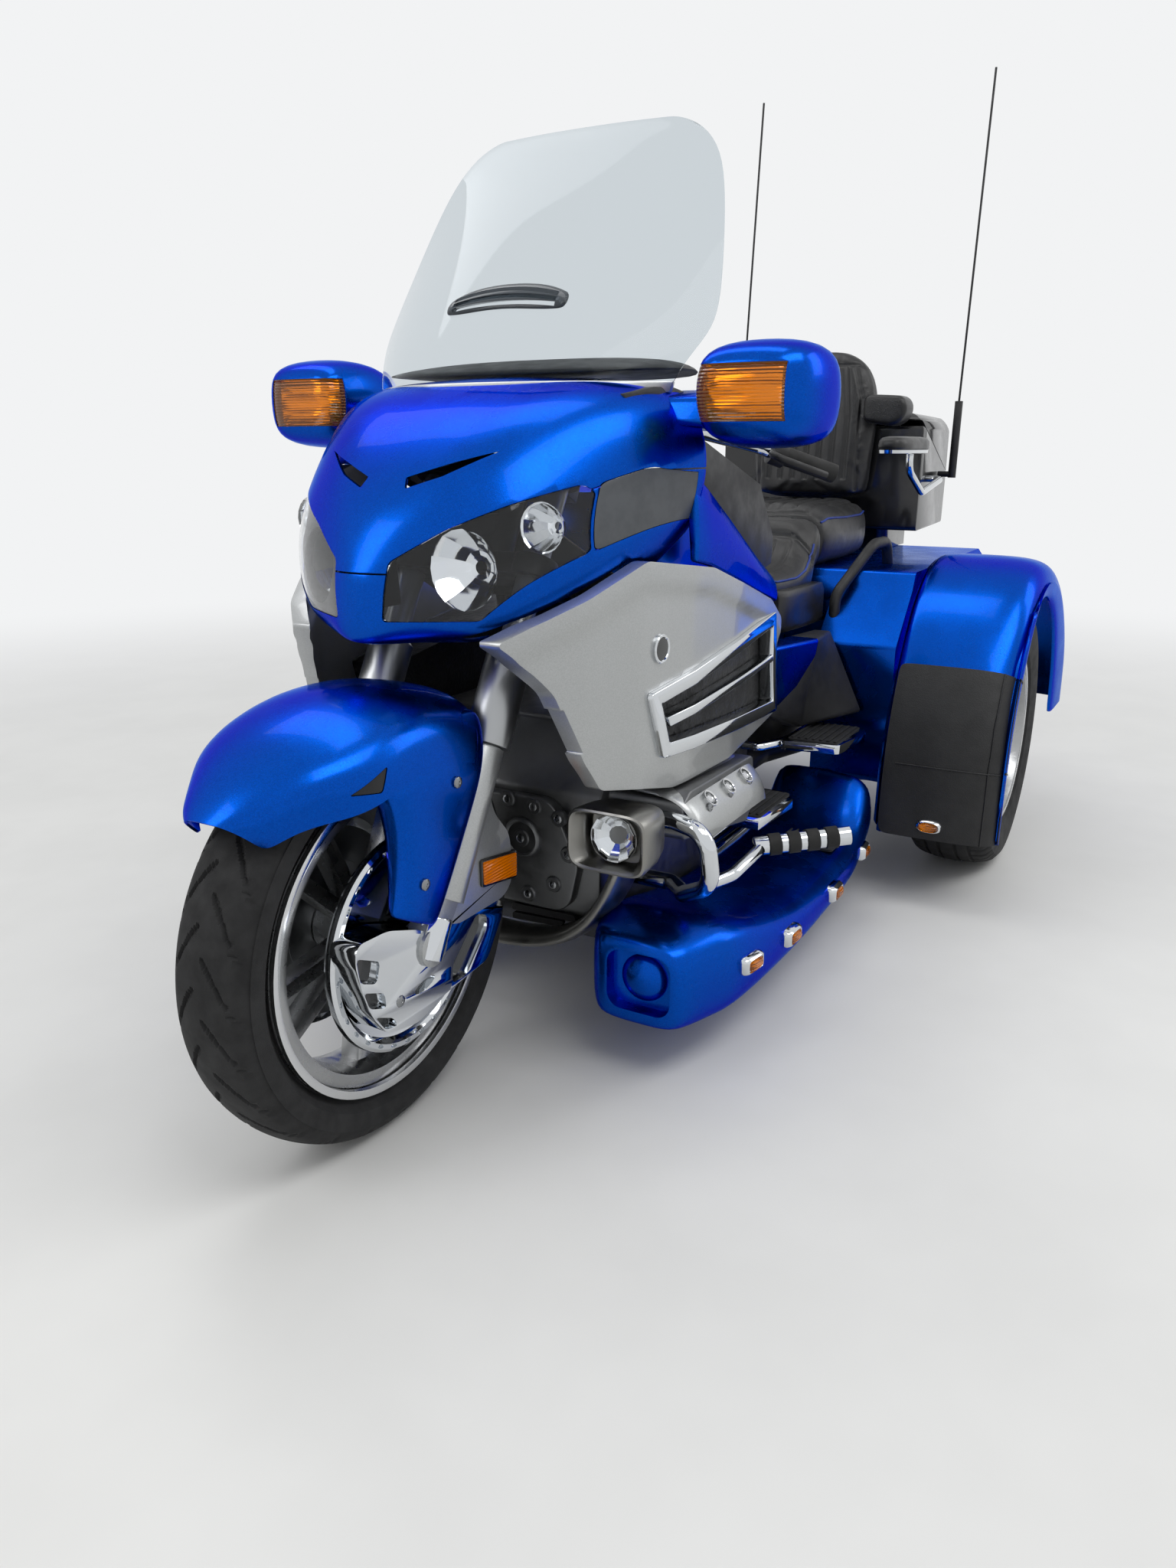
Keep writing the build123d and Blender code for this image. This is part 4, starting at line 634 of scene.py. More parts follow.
def mirrorShell(name, inset=0.0):
    rings = []
    for x, y0, y1, z0, z1 in mirror["rings"]:
        y0, y1, z0, z1 = y0 + inset, y1 - inset, z0 + inset, z1 - inset
        w, h = y1 - y0, z1 - z0
        ring = [(y0 + w * 0.16, z0 + h * 0.01), (y0 + w * 0.55, z0), (y1 - w * 0.10, z0 + h * 0.03),
                (y1, z0 + h * 0.26), (y1, z0 + h * 0.74), (y1 - w * 0.09, z1 - h * 0.03),
                (y0 + w * 0.5, z1), (y0 + w * 0.12, z1 - h * 0.03), (y0, z0 + h * 0.78),
                (y0, z0 + h * 0.24)]
        rings.append([(x - inset, y, z) for y, z in ring])
    obj = cage(name, rings, ring=True, closed=True)
    rounded(obj, 2)
    return obj


shell = mirrorShell("mirrorShells")
lensCutter = plate("cutter", mirror["lens"], "z", *mirror["lensZ"], 12)
lens = mirrorShell("mirrorLenses", 0.8)
inner = mirrorShell("cutter", mirror["lensWall"])
carve(lens, lensCutter, "INTERSECT", keep=True)
carve(lens, inner)
carve(shell, lensCutter)
core = mirrorShell("mirrorCores", mirror["lensWall"] - 1)
foot = plate("mirrorFeet", mirror["foot"], "y", *mirror["footY"], 10)
bevelled(foot, 8, 30, 3)
bevelled(shell, 1.2, 50)
mirrorSides(shell, lens, core, foot)
shell = joined([shell, foot], "mirrorShells")
settle(shell, "chassis", "blue_paint", ["mirrors"])
settle(lens, "chassis", "amber_lens", ["mirror_lamps"], smooth=25)
settle(core, "chassis", "polished_alloy", ["mirror_lamps"], material=bowlSilver)
print("mirrors")

# Rear fenders: side outline over the wheel, mirrored
rearFender = {
    "outline": [(-244, 165), (-247, 215), (-256, 330), (-280, 430), (-326, 520), (-368, 590), (-420, 656),
                (-470, 704), (-530, 740), (-590, 758), (-650, 766), (-725, 762), (-800, 753), (-890, 728),
                (-980, 690), (-1060, 642), (-1130, 586), (-1185, 530), (-1228, 462), (-1246, 390),
                (-1250, 322)],
    "innerY": 436.4, "outerY": 700, "archR": 350,
    "wall": 5,
}


def fenderRows(gap):
    # sections from the arch's inner edge over the top to its outer edge, the skin moved out by gap
    ax, _, az = axleOf["rear_wheel_left"]
    outline, archR = rearFender["outline"], rearFender["archR"]
    rows = []
    for i, (x, z) in enumerate(outline):
        run = runAt(outline, i)
        nx, nz = -run.y, run.x
        if nx * (x - ax) + nz * (z - az) < 0:
            nx, nz = -nx, -nz
        far = hypot(x - ax, z - az)
        archX, archZ = ax + (x - ax) * archR / far, az + (z - az) * archR / far
        if z < az:
            archX, archZ = ax + (archR if x > ax else -archR), z
        midX, midZ = (x + archX) / 2, (z + archZ) / 2
        inY, outY = rearFender["innerY"], rearFender["outerY"] + gap
        # the skin: how far each point drops below the outline, and its y
        skin = [(16, inY), (2, inY + 8), (0, inY + 34), (0, 560), (2, 630), (12, 672), (34, 693 + gap),
                (64, outY)]
        rows.append([(archX, inY, archZ), (midX, inY, midZ)]
                    + [(x + nx * (gap - drop), y, z + nz * (gap - drop)) for drop, y in skin]
                    + [(midX, outY, midZ), (archX, outY, archZ), (archX, outY - 12, archZ)])
    return rows


fender = cage("rearFenders", fenderRows(0))
rounded(fender, 2)
shelled(fender, rearFender["wall"])
mirrorSides(fender)
deck = cadCopy("trike_body", "trikeDeck", 0)
deckHalf = rearFender["innerY"] - 0.2
carve(deck, plate("cutter", [(-1400, 100), (0, 100), (0, 900), (-1400, 900)], "y", -deckHalf, deckHalf),
      "INTERSECT")
bevelled(deck, 6, 25, 3)
settle(deck, "chassis", "blue_paint", ["trike_body"])
settle(fender, "chassis", "blue_paint", ["trike_body"], smooth=50)
print("rear fenders")

# Front fender: rows by angle round the axle, with their share of the flare and how they narrow. A row is a
# half profile (y, rise from the crown) between the plain and the flared one. The skirt runs down the fork
# leg's outside: rear x and z, front x and z, inner y, outer y
frontFender = {
    "crownR": 379, "wall": 4,
    "plain": [(0, 0), (26, -1), (50, -7), (68, -20), (77, -40), (79.4, -62)],
    "flared": [(0, 0), (34, -1), (76, -8), (116, -24), (144, -50), (151, -104)],
    "rows": [(42, 0.0, 7), (44, 0.0, 2), (48, 0.12, 0), (53, 0.42, 0), (58, 0.72, 0), (64, 0.92, 0),
             (72, 1.0, 0), (82, 1.0, 0), (92, 1.0, 0), (102, 1.0, 0), (110, 1.0, 0), (112.5, 1.0, 0),
             (113, 0.0, 0), (120, 0.0, 0), (128, 0.0, 0)],
    "skirt": [(1022, 354, 1104, 396, 132, 145), (1019, 358, 1108, 401, 120, 150),
              (1006, 378, 1101, 420, 110, 152), (974, 428, 1092, 462, 100, 153),
              (938, 486, 1088, 508, 92, 153), (906, 536, 1096, 546, 86, 153),
              (884, 584, 1104, 580, 84, 151), (880, 630, 1076, 622, 84, 143),
              (884, 656, 1040, 650, 84, 130)],
    "vent": [(1176, 592), (1112, 619), (1128, 586)],
    "screws": [(974, 153.2, 561), (1057, 153.2, 434)],
}
ax, _, az = axleOf["front_wheel"]
rows = []
for angle, flare, narrow in frontFender["rows"]:
    half = []
    for (y0, d0), (y1, d1) in zip(frontFender["plain"], frontFender["flared"]):
        y, drop = y0 + (y1 - y0) * flare, d0 + (d1 - d0) * flare
        r = frontFender["crownR"] + drop
        half.append((ax + r * cos(radians(angle)), y * (1 - narrow * 0.04), az + r * sin(radians(angle))))
    rows.append(bothHalves(half))
arch = cage("frontFender", rows)
rounded(arch, 2)
shelled(arch, frontFender["wall"])
rings = []
for rear, zRear, front, zFront, yIn, yOut in frontFender["skirt"]:
    def onSkirt(x, y):
        return (x, y, zRear + (zFront - zRear) * (x - rear) / (front - rear))
    mid = (rear + front) / 2
    rings.append([onSkirt(rear, yIn), onSkirt(rear, yOut - 14), onSkirt(rear + 7, yOut - 2),
                  onSkirt(mid, yOut), onSkirt(front - 14, yOut - 2), onSkirt(front, yOut - 16),
                  onSkirt(front - 2, yIn), onSkirt(mid, yIn)])
skirt = cage("skirts", rings, ring=True, closed=True)
rounded(skirt, 2)
mirrorSides(skirt)
frontGuard = joined([arch, skirt], "frontFender")
vent = bothSides(plate("cutter", frontFender["vent"], "y", 110, 170, 5))
pocket = copyOf(frontGuard, "fenderVents")
carve(pocket, vent, "INTERSECT", keep=True)
applyModifier(pocket, "DISPLACE", strength=-0.0015, mid_level=0.0)
carve(frontGuard, vent)
settle(frontGuard, "steering", "blue_paint", ["front_fender"], smooth=50)
settle(pocket, "steering", "black_plastic", ["front_fender"], smooth=50)
screws = screwHeads("fenderScrews", frontFender["screws"], (0, 1, 0), 9, 3)
mirrorSides(screws)
settle(screws, "steering", "chrome", ["front_fender"], material=boltSteel)
print("front fender")

# Tyres: a spun profile whose tread is cut by curved sipes
tyre = {
    "front": {"r": 319.5, "half": 65, "bead": 229.3, "rimHalf": 40.7, "flange": 243,
              "pitch": 24, "steps": 480, "columns": 44,
              "deep": 4.5, "bend": 1.3, "bendPower": 1.4, "wide": 2.6, "wideFrom": 0.1, "wideTo": 0.72,
              "narrow": 1.4, "from": 0.08, "to": 0.88},
    "rear": {"r": 323.5, "half": 102.5, "bead": 190.8, "rimHalf": 81.7, "flange": 204,
             "pitch": 60, "steps": 360, "columns": 56,
             "rings": (-0.5, -0.18, 0.18, 0.5), "ringHalf": 0.035, "ringDeep": 6.0,
             "deep": 4.0, "slant": 0.8, "wide": 2.6, "from": 0.52},
}


def tyreProfile(size):
    # half section (y, radius) from the bead up the side wall to the shoulder
    r, half, bead, rimHalf, flange = (size[k] for k in ("r", "half", "bead", "rimHalf", "flange"))
    wallR = (r + flange) / 2 - 4
    return [(rimHalf, bead), (rimHalf + 0.2, flange + 2), (rimHalf + (half - rimHalf) * 0.6, flange + 14),
            (half - 1.5, wallR - 14), (half, wallR), (half - 0.8, wallR + 12), (half * 0.96, r * 0.905),
            (half * 0.9, r * 0.93), (half * 0.84, r * 0.953), (half * 0.76, r * 0.967)]


def treadDepth(kind, y, angle, size):
    # depth in millimetres of the groove at this place: curved sipes in front, four rings and slots behind
    pitch = size["pitch"]
    t = angle * pitch / (2 * pi)
    u = y / size["half"]
    if kind == "front":
        bend = t + 0.5 * (u > 0) + size["bend"] * abs(u) ** size["bendPower"]
        near = abs((bend % 1) - 0.5) * 2 * pi * size["r"] / pitch / 2
        wide = size["wide"] if size["wideFrom"] < abs(u) < size["wideTo"] else size["narrow"]
        return size["deep"] if near < wide and size["from"] < abs(u) < size["to"] else 0.0
    if min(abs(u - ring) for ring in size["rings"]) < size["ringHalf"]:
        return size["ringDeep"]
    near = abs(((t + size["slant"] * abs(u)) % 1) - 0.5) * 2 * pi * size["r"] / pitch
    return size["deep"] if near < size["wide"] and abs(u) > size["from"] else 0.0


def tyreMesh(name, kind, centre):
    size = tyre[kind]
    flank = tyreProfile(size)
    wide = size["half"] * 0.66
    tread = []
    for i in range(size["columns"] + 1):
        y = -wide + 2 * wide * i / size["columns"]
        tread.append((y, size["r"] - (size["r"] * 0.0225) * (y / wide) ** 2))
    profile = flank + tread[::-1] + [(-y, r) for y, r in flank[::-1]]
    rows = []
    for i in range(size["steps"]):
        angle = 2 * pi * i / size["steps"]
        row = []
        for y, r in profile:
            depth = treadDepth(kind, y, angle, size) if r > size["r"] * 0.925 else 0.0
            row.append((centre[0] + (r - depth) * cos(angle), centre[1] + y,
                        centre[2] + (r - depth) * sin(angle)))
        rows.append(row)
    rows.append(rows[0])
    return cage(name, rows, ring=True)


settle(tyreMesh("frontTyre", "front", axleOf["front_wheel"]), "front_wheel", "tyre", ["front_tyre"],
       smooth=28)
for side, sign in rearSides:
    body = "rear_wheel_" + side
    settle(tyreMesh(side + "RearTyre", "rear", axleOf[body]), body, "tyre", ["rear_tyre_" + side],
           smooth=28)
print("tyres")

# Silver side cowls: a slab in side view whose skin follows the plan curve, with a raised upper lip. Each grid
# is a first place, a step and a count
cowl = {
    "outline": [(924, 752), (884, 778), (700, 855), (499, 829), (231, 747), (172, 706), (166, 518),
                (385, 478), (600, 478), (690, 498), (780, 515), (812, 564), (856, 674), (883, 707)],
    "plan": [(940, 172), (926, 188), (880, 235), (812, 276), (700, 314), (560, 332), (385, 338),
             (150, 335)],
    "vent": [(690, 651), (205, 722), (174, 524), (650, 540)],
    "slot": [(843, 652), (853, 648), (826, 576), (814, 580)],
    "lip": 7.0, "lipHigh": 46, "lipRise": 14, "footZ": 560, "footRun": 80, "footDraw": 6,
    "wall": 24.0, "cutY": (100, 420),
    "gridX": (940, -11.3, 71), "gridZ": (466, 10, 41),
}


def along(table, x):
    # straight between the rows of a table of (x, value), flat beyond its ends
    rows = sorted(table)
    for (x0, y0), (x1, y1) in zip(rows, rows[1:]):
        if x0 <= x <= x1:
            return y0 + (y1 - y0) * ((x - x0) / (x1 - x0))
    return rows[0][1] if x < rows[0][0] else rows[-1][1]


def cowlSkin(x, z):
    # y of the skin: a lip stands out along the top, and the foot draws in
    ridge = along(cowl["outline"][:6], x)
    rise = between(0.0, (z - (ridge - cowl["lipHigh"])) / cowl["lipRise"], 1.0)
    low = between(0.0, (cowl["footZ"] - z) / cowl["footRun"], 1.0)
    return along(cowl["plan"], x) - cowl["lip"] + cowl["lip"] * rise - cowl["footDraw"] * low * low


xs, zs = ([grid[0] + grid[1] * i for i in range(grid[2])] for grid in (cowl["gridX"], cowl["gridZ"]))
slab = cage("sideCowls", [[(x, cowlSkin(x, z), z) for z in zs] for x in xs])
applyModifier(slab, "SMOOTH", factor=0.5, iterations=3)
if slab.data.polygons[0].normal.y < 0:
    inEdit(slab, lambda: bpy.ops.mesh.flip_normals())
shelled(slab, cowl["wall"])
carve(slab, plate("cutter", cowl["outline"], "y", *cowl["cutY"], 8), "INTERSECT")
carve(slab, plate("cutter", cowl["vent"], "y", *cowl["cutY"], 8))
carve(slab, plate("cutter", cowl["slot"], "y", *cowl["cutY"], 3))
bevelled(slab, 3, 40, 3)
mirrorSides(slab)
settle(slab, "chassis", "silver_paint", ["side_cowls"], smooth=40)
print("cowls")

# Running boards: rings along x of inner y, outer y, low z, high z. The dome in the front pocket is given by
# y, z and x of its foot, radius and height
board = {
    "rings": [(726, 250, 386, 108, 238), (721, 238, 398, 98, 249), (698, 216, 412, 90, 260),
              (640, 203, 430, 86, 264), (600, 201, 446, 84, 264), (540, 201, 456, 90, 252),
              (480, 201, 463, 96, 237), (390, 201, 468, 102, 220), (300, 201, 471, 108, 206),
              (150, 204, 469, 113, 202), (0, 207, 466, 118, 204), (-90, 207, 453, 124, 213),
              (-150, 207, 446, 128, 254), (-190, 207, 441, 131, 300), (-238, 207, 438, 142, 322)],
    "pocket": [(260, 122), (376, 122), (376, 228), (260, 228)], "pocketCorner": 26, "pocketX": 699,
    "dome": (318, 175, 697, 42, 22), "domeRows": 8, "domeFacets": 32,
}
rings = []
for x, y0, y1, z0, z1 in board["rings"]:
    w, h = y1 - y0, z1 - z0
    section = [(y0, z0 + h * 0.15), (y0, z1 - h * 0.12), (y0 + w * 0.06, z1), (y0 + w * 0.5, z1 - 1),
               (y1 - w * 0.13, z1 - h * 0.05), (y1 - w * 0.02, z1 - h * 0.24), (y1, z0 + h * 0.42),
               (y1 - w * 0.03, z0 + h * 0.14), (y1 - w * 0.14, z0), (y0 + w * 0.5, z0), (y0 + w * 0.06, z0)]
    rings.append([(x, y, z) for y, z in section])
boards = cage("runningBoards", rings, ring=True, closed=True)
rounded(boards, 2)
carve(boards, plate("cutter", board["pocket"], "x", board["pocketX"], 800, board["pocketCorner"], 6))
bevelled(boards, 3, 50, 3)
y, z, x, r, tall = board["dome"]
rows = []
for k in range(board["domeRows"]):
    a = radians(90 * k / board["domeRows"])
    rows.append([(x + tall * sin(a), y + r * cos(a) * c, z + r * cos(a) * s)
                 for c, s in around(board["domeFacets"])])
dome = cage("dome", rows, ring=True, closed=True)
boards = joined([boards, dome], "runningBoards")
mirrorSides(boards)
settle(boards, "chassis", "blue_paint", ["running_boards"], smooth=40)
print("running boards")

# Seat: crowned rings along x of half width, low z, high z, with sewn grooves added after. The skirt is the
# rider's flanks: x, inner y, outer y
seat = {
    "rider": [(16, 96, 664.5, 700), (12, 116, 664.2, 738), (-20, 134, 664, 768), (-60, 152, 664, 781),
              (-130, 174, 664, 764), (-220, 197, 664, 744), (-320, 208, 664, 744), (-370, 210, 664, 758),
              (-404, 210, 664, 790), (-424, 208, 680, 822), (-440, 207, 735.4, 846),
              (-466, 206, 735.4, 868), (-469, 196, 737, 858)],
    "pillion": [(-471, 196, 737, 856), (-476, 207, 735.4, 870), (-520, 215, 735.4, 882),
                (-600, 218, 735.4, 880), (-700, 216, 735.4, 877), (-800, 212, 735.4, 876),
                (-880, 200, 735.4, 884), (-892, 186, 738, 872)],
    "skirt": [(-190, 182, 199), (-220, 184, 213), (-280, 185, 219), (-340, 186, 223), (-424, 186, 227)],
    "skirtLow": 612, "skirtHigh": 706,
    "voxel": 6, "pressure": 4, "clothSteps": 20, "swell": 7, "channelDeep": 4.5, "channelWide": 5,
    "cordR": 2.6, "cordLift": 0.4,
}


def cushionCage(name, rings):
    loops = []
    for x, half, low, high in rings:
        h = high - low
        right = [(half * 0.55, high + 1), (half * 0.86, high - h * 0.05), (half * 0.99, high - h * 0.24),
                 (half + 1, low + h * 0.4), (half * 0.97, low + h * 0.05), (half * 0.8, low)]
        loops.append(symmetric((x, 0, high - 3), [(x, y, z) for y, z in right], (x, 0, low)))
    return cage(name, loops, ring=True, closed=True)


def inflated(obj, voxelMm, pressure, capMm):
    # remeshed, blown up as cloth, and held to a largest move; the swelling is what a cut block lacks
    applyModifier(obj, "REMESH", mode="VOXEL", voxel_size=voxelMm / 1000)
    before = [v.co.copy() for v in obj.data.vertices]
    focus(obj)
    modifier = obj.modifiers.new("cloth", "CLOTH")
    modifier.settings.use_pressure = True
    modifier.settings.uniform_pressure_force = pressure
    modifier.settings.effector_weights.gravity = 0
    for step in range(seat["clothSteps"]):
        bpy.context.scene.frame_set(step + 1)
    bpy.ops.object.modifier_apply(modifier=modifier.name)
    bpy.context.scene.frame_set(1)
    for vertex, old in zip(obj.data.vertices, before):
        move = vertex.co - old
        if move.length > capMm / 1000:
            vertex.co = old + move.normalized() * capMm / 1000
    rounded(obj, 1)


def sewn(obj, channels, depthMm, widthMm):
    # sewn channels: each pulls the skin in along its line, where its mask lets it
    normals = [v.normal.copy() for v in obj.data.vertices]
    for vertex, n in zip(obj.data.vertices, normals):
        x, y, z = (c * 1000 for c in vertex.co)
        pull = 0.0
        for away, mask in channels:
            pull = max(pull, mask(x, y, z, n) * 2.72 ** (-(away(x, y, z) / widthMm) ** 2))
        vertex.co -= n * pull * depthMm / 1000


def welt(name, points, radiusMm, onto):
    # a piping cord laid on the nearest skin of a cushion
    laid = []
    for p in points:
        _, where, normal, _ = onto.closest_point_on_mesh(Vector(p) / 1000)
        laid.append((where + normal * radiusMm * (seat["cordLift"] / 1000)) * 1000)
    rings = []
    for i, p in enumerate(laid):
        run = runAt(laid, i)
        level = run.cross(Vector((0, 0, 1))).normalized()
        up = level.cross(run)
        rings.append([tuple(p + level * (radiusMm * c) + up * (radiusMm * s)) for c, s in around(8)])
    return cage(name, rings, ring=True, closed=True)


def faceOn(share):
    # 1 where the skin faces the way that its sewn lines are seen from, 0 at its sides
    return between(0.0, (share - 0.45) / 0.25, 1.0)


def finer(points, steps=6):
    # a line of points with even steps put between them
    line = [tuple(a + (b - a) * k / steps for a, b in zip(p, q)) for p, q in zip(points, points[1:])
            for k in range(steps)]
    return line + [points[-1]]


def shrunk(rings, by):
    return [(x, half - by, low + (by * 0.3 if low > 700 else 0), high - by) for x, half, low, high in rings]


def puffed(name, rings):
    cushion = cushionCage(name, shrunk(rings, 3))
    rounded(cushion, 2)
    inflated(cushion, seat["voxel"], seat["pressure"], seat["swell"])
    return cushion


saddle = puffed("riderSeat", seat["rider"])
pillion = puffed("passengerSeat", seat["pillion"])
# the rider's channels run forward and draw in towards the nose, inside a border and a cross seam at the step
channels = [(lambda x, y, z, offset=offset: abs(abs(y) - offset * (0.6 + 0.4 * min(1.0, -x / 300))),
             lambda x, y, z, n: faceOn(n.z) * (-410 < x < -60)) for offset in (0, 34, 68, 102)]
channels.append((lambda x, y, z: abs(abs(y) - 142 * (0.55 + 0.45 * between(0.0, -x / 260, 1.0))),
                 lambda x, y, z, n: (n.z > 0.2) * (x > -420)))
channels.append((lambda x, y, z: abs(x + 414), lambda x, y, z, n: n.z > 0.1))
sewn(saddle, channels, seat["channelDeep"], seat["channelWide"])
# the passenger's run straight, inside a border with a cross seam at each end
channels = [(lambda x, y, z, offset=offset: abs(abs(y) - offset),
             lambda x, y, z, n: faceOn(n.z) * (-850 < x < -500)) for offset in (0, 38, 76, 114)]
channels.append((lambda x, y, z: abs(abs(y) - 152), lambda x, y, z, n: faceOn(n.z) * (-870 < x < -484)))
channels.append((lambda x, y, z: abs(abs(x + 677) - 190), lambda x, y, z, n: faceOn(n.z) * (abs(y) < 152)))
sewn(pillion, channels, seat["channelDeep"], seat["channelWide"])
low, high = seat["skirtLow"], seat["skirtHigh"]
rings = [[(x, y0, low), (x, y0, high), (x, y1 - 6, high), (x, y1, high - 16), (x, y1, low + 14),
          (x, y1 - 5, low)]
         for x, y0, y1 in seat["skirt"]]
flank = cage("seatFlanks", rings, ring=True, closed=True)
bevelled(flank, 3, 40, 2)
mirrorSides(flank)
saddle = joined([saddle, flank], "riderSeat")
edges = []
for rings, onto in ((seat["rider"][1:-3], saddle), (seat["pillion"][1:-1], pillion)):
    fine = finer([(x, half * 0.97, high - (high - low) * 0.17) for x, half, low, high in rings])
    edges.append(welt("welt", fine, seat["cordR"], onto))
    edges.append(welt("welt", [(x, -y, z) for x, y, z in fine], seat["cordR"], onto))
welts = joined(edges, "seatPiping")
settle(saddle, "chassis", "leather", ["seat"], smooth=60)
settle(pillion, "chassis", "leather", ["seat"], smooth=60)
settle(welts, "chassis", "leather", ["seat"], smooth=60, material=blueWelt)
print("seat")

# Backrest: rings up z of half width, front x, rear x
back = {
    "rings": [(884, 150, -899, -1010), (892, 160, -895, -1011), (930, 168, -900, -1011),
              (962, 172, -904, -994), (1020, 178, -909, -989), (1090, 184, -917, -989),
              (1150, 180, -925, -989), (1200, 166, -932, -989), (1236, 140, -938, -987),
              (1258, 104, -944, -984), (1270, 66, -952, -978)],
    "wing": [(150, 1080), (240, 1066), (272, 1100), (262, 1146), (150, 1152)], "wingX": (-984, -898),
    "swell": 6,
}
rings = []
for z, half, front, rear in back["rings"]:
    d = front - rear
    left = [(front + 1, half * 0.35), (front, half * 0.72), (front - d * 0.16, half * 0.95),
            (front - d * 0.5, half), (rear + d * 0.14, half * 0.97), (rear, half * 0.84)]
    rings.append(symmetric((front + 2, 0, z), [(x, y, z) for x, y in left], (rear, 0, z)))
pad = cage("backrestPad", rings, ring=True, closed=True)
rounded(pad, 2)
inflated(pad, seat["voxel"], seat["pressure"], back["swell"])
# upright channels that draw in towards the top, inside a border with a cross seam above
channels = [(lambda x, y, z, offset=offset: abs(abs(y) - offset * (1.0 - 0.2 * max(0.0, (z - 1100) / 160))),
             lambda x, y, z, n: faceOn(n.x) * (930 < z < 1225)) for offset in (0, 36, 72, 108)]
channels.append((lambda x, y, z: abs(abs(y) - 140 * (1.0 - 0.25 * max(0.0, (z - 1140) / 110))),
                 lambda x, y, z, n: faceOn(n.x) * (z < 1225)))
channels.append((lambda x, y, z: abs(z - 1228), lambda x, y, z, n: faceOn(n.x)))
sewn(pad, channels, seat["channelDeep"], seat["channelWide"])
pods = plate("backrestPods", back["wing"], "x", *back["wingX"], 22, 5)
bevelled(pods, 14, 40, 4)
rounded(pods, 1)
mirrorSides(pods)
settle(pad, "chassis", "leather", ["backrest"], smooth=60)
settle(pods, "chassis", "leather", ["backrest"], smooth=60)
print("backrest")

# Vinyl covers over the front of the rear fenders: a sheet that follows the fender at a small gap, up to its
# top edge, with soft folds and three welted seams
covers = {
    "top": 545, "seam": 330, "gap": 3.5, "thick": 2.5, "cordR": 2.0,
    "wave": 0.9, "pinch": 1.6,
}


def coverRows():
    # the fender's first five sections and one more at the cover's upper edge
    full = fenderRows(covers["gap"])
    low, high = full[4], full[5]
    part = (covers["top"] - low[4][2]) / (high[4][2] - low[4][2])
    top = [tuple(a + (b - a) * part for a, b in zip(p, q)) for p, q in zip(low, high)]
    return full[:5] + [top]


full = coverRows()
cloth = cage("fenderCovers", [row[3:] for row in full])
rounded(cloth, 2)
for vertex in cloth.data.vertices:
    # the sheet hangs in soft vertical folds and pulls in at its seam
    x, y, z = (c * 1000 for c in vertex.co)
    hang = sin(pi * between(0.0, (z - 170) / 360, 1.0)) if y < 690 else 0.0
    wave = covers["wave"] * sin(y * 0.045 + z * 0.004) * hang
    pinch = -covers["pinch"] * max(0.0, 1 - abs(z - covers["seam"]) / 8)
    vertex.co.x += (wave + pinch) / 1000
shelled(cloth, covers["thick"], 0)
cloth.data.update()
seams = [full[2][4:12], [(x, y, z - 5) for x, y, z in full[5][4:12]], [row[7] for row in full]]
cords = joined([welt("cord", finer(line), covers["cordR"], cloth) for line in seams], "coverWelts")
mirrorSides(cords, cloth)
settle(cloth, "chassis", "leather", ["fender_covers"], smooth=50, material=vinyl)
settle(cords, "chassis", "leather", ["fender_covers"], smooth=60)
print("fender covers")

# Brake covers: a dished chrome plate with a slotted bead, a caliper cover and a sleeve at the leg's foot
brake = {
    "dish": [(2, 30), (4, 44), (7, 58), (7, 138), (9, 146), (14, 150), (18, 154), (18, 162), (14, 167),
             (6, 168), (1, 165), (1, 40)],
    "foot": 72, "slotR": 157.5, "slots": 30, "slotSize": (7.0, 3.2),
    "caliper": [(1177, 384), (1114, 381), (1048, 357), (1001, 328), (943, 347), (896, 350), (833, 323),
                (834, 301), (880, 239), (995, 229), (1058, 213), (1126, 228), (1156, 268), (1173, 314),
                (1184, 361)],
    "windows": [[(1180, 366), (1133, 343), (1143, 313), (1175, 327)],
                [(1170, 311), (1128, 293), (1125, 268), (1160, 282)],
                [(1150, 265), (1112, 247), (1103, 230), (1130, 236)],
                [(905, 327), (878, 316), (880, 291), (938, 237), (973, 238), (971, 269)]],
    "caliperY": (84, 129), "insertY": (106, 114),
    "oval": (1039, 266, 24, 8), "ovalLean": 0.12,
    "screw": [(1095, 129, 265)],
    "sleeve": [(0, 22), (2, 25), (60, 27), (64, 25), (64, 21), (0, 20)],
    "sleeveFoot": (1027, 122, 300), "sleeveRun": (-0.42, 0, 0.9),
}
ax, _, az = axleOf["front_wheel"]
dish = turned("dish", brake["dish"], (ax, brake["foot"], az), (0, 1, 0), 96)
slots = []
w, h = brake["slotSize"]
for outX, outZ in around(brake["slots"]):
    ring = [(brake["slotR"] + s * h, c * w) for c, s in around(8)]
    outline = [(ax + outX * far - outZ * aside, az + outZ * far + outX * aside) for far, aside in ring]
    slots.append(plate("slot", outline, "y", 86, 100))
carve(dish, joined(slots, "slots"))
caliper = plate("caliper", brake["caliper"], "y", *brake["caliperY"], 12)
bevelled(caliper, 7, 40, 4)
inserts = []
x, z, w, h = brake["oval"]
oval = [(x + w * c, z + h * s - brake["ovalLean"] * w * c) for c, s in around(16)]
for outline, corner in [(window, 8) for window in brake["windows"]] + [(oval, 0)]:
    carve(caliper, plate("cutter", outline, "y", 112, 140, corner))
    inserts.append(plate("insert", grownOutline(outline, 1.0), "y", *brake["insertY"], corner))
bevelled(caliper, 1.2, 60)
sleeve = turned("sleeve", brake["sleeve"], brake["sleeveFoot"], brake["sleeveRun"], 32)
plated = joined([dish, caliper, sleeve], "brakeCovers")
inserts = joined(inserts, "brakeWindows")
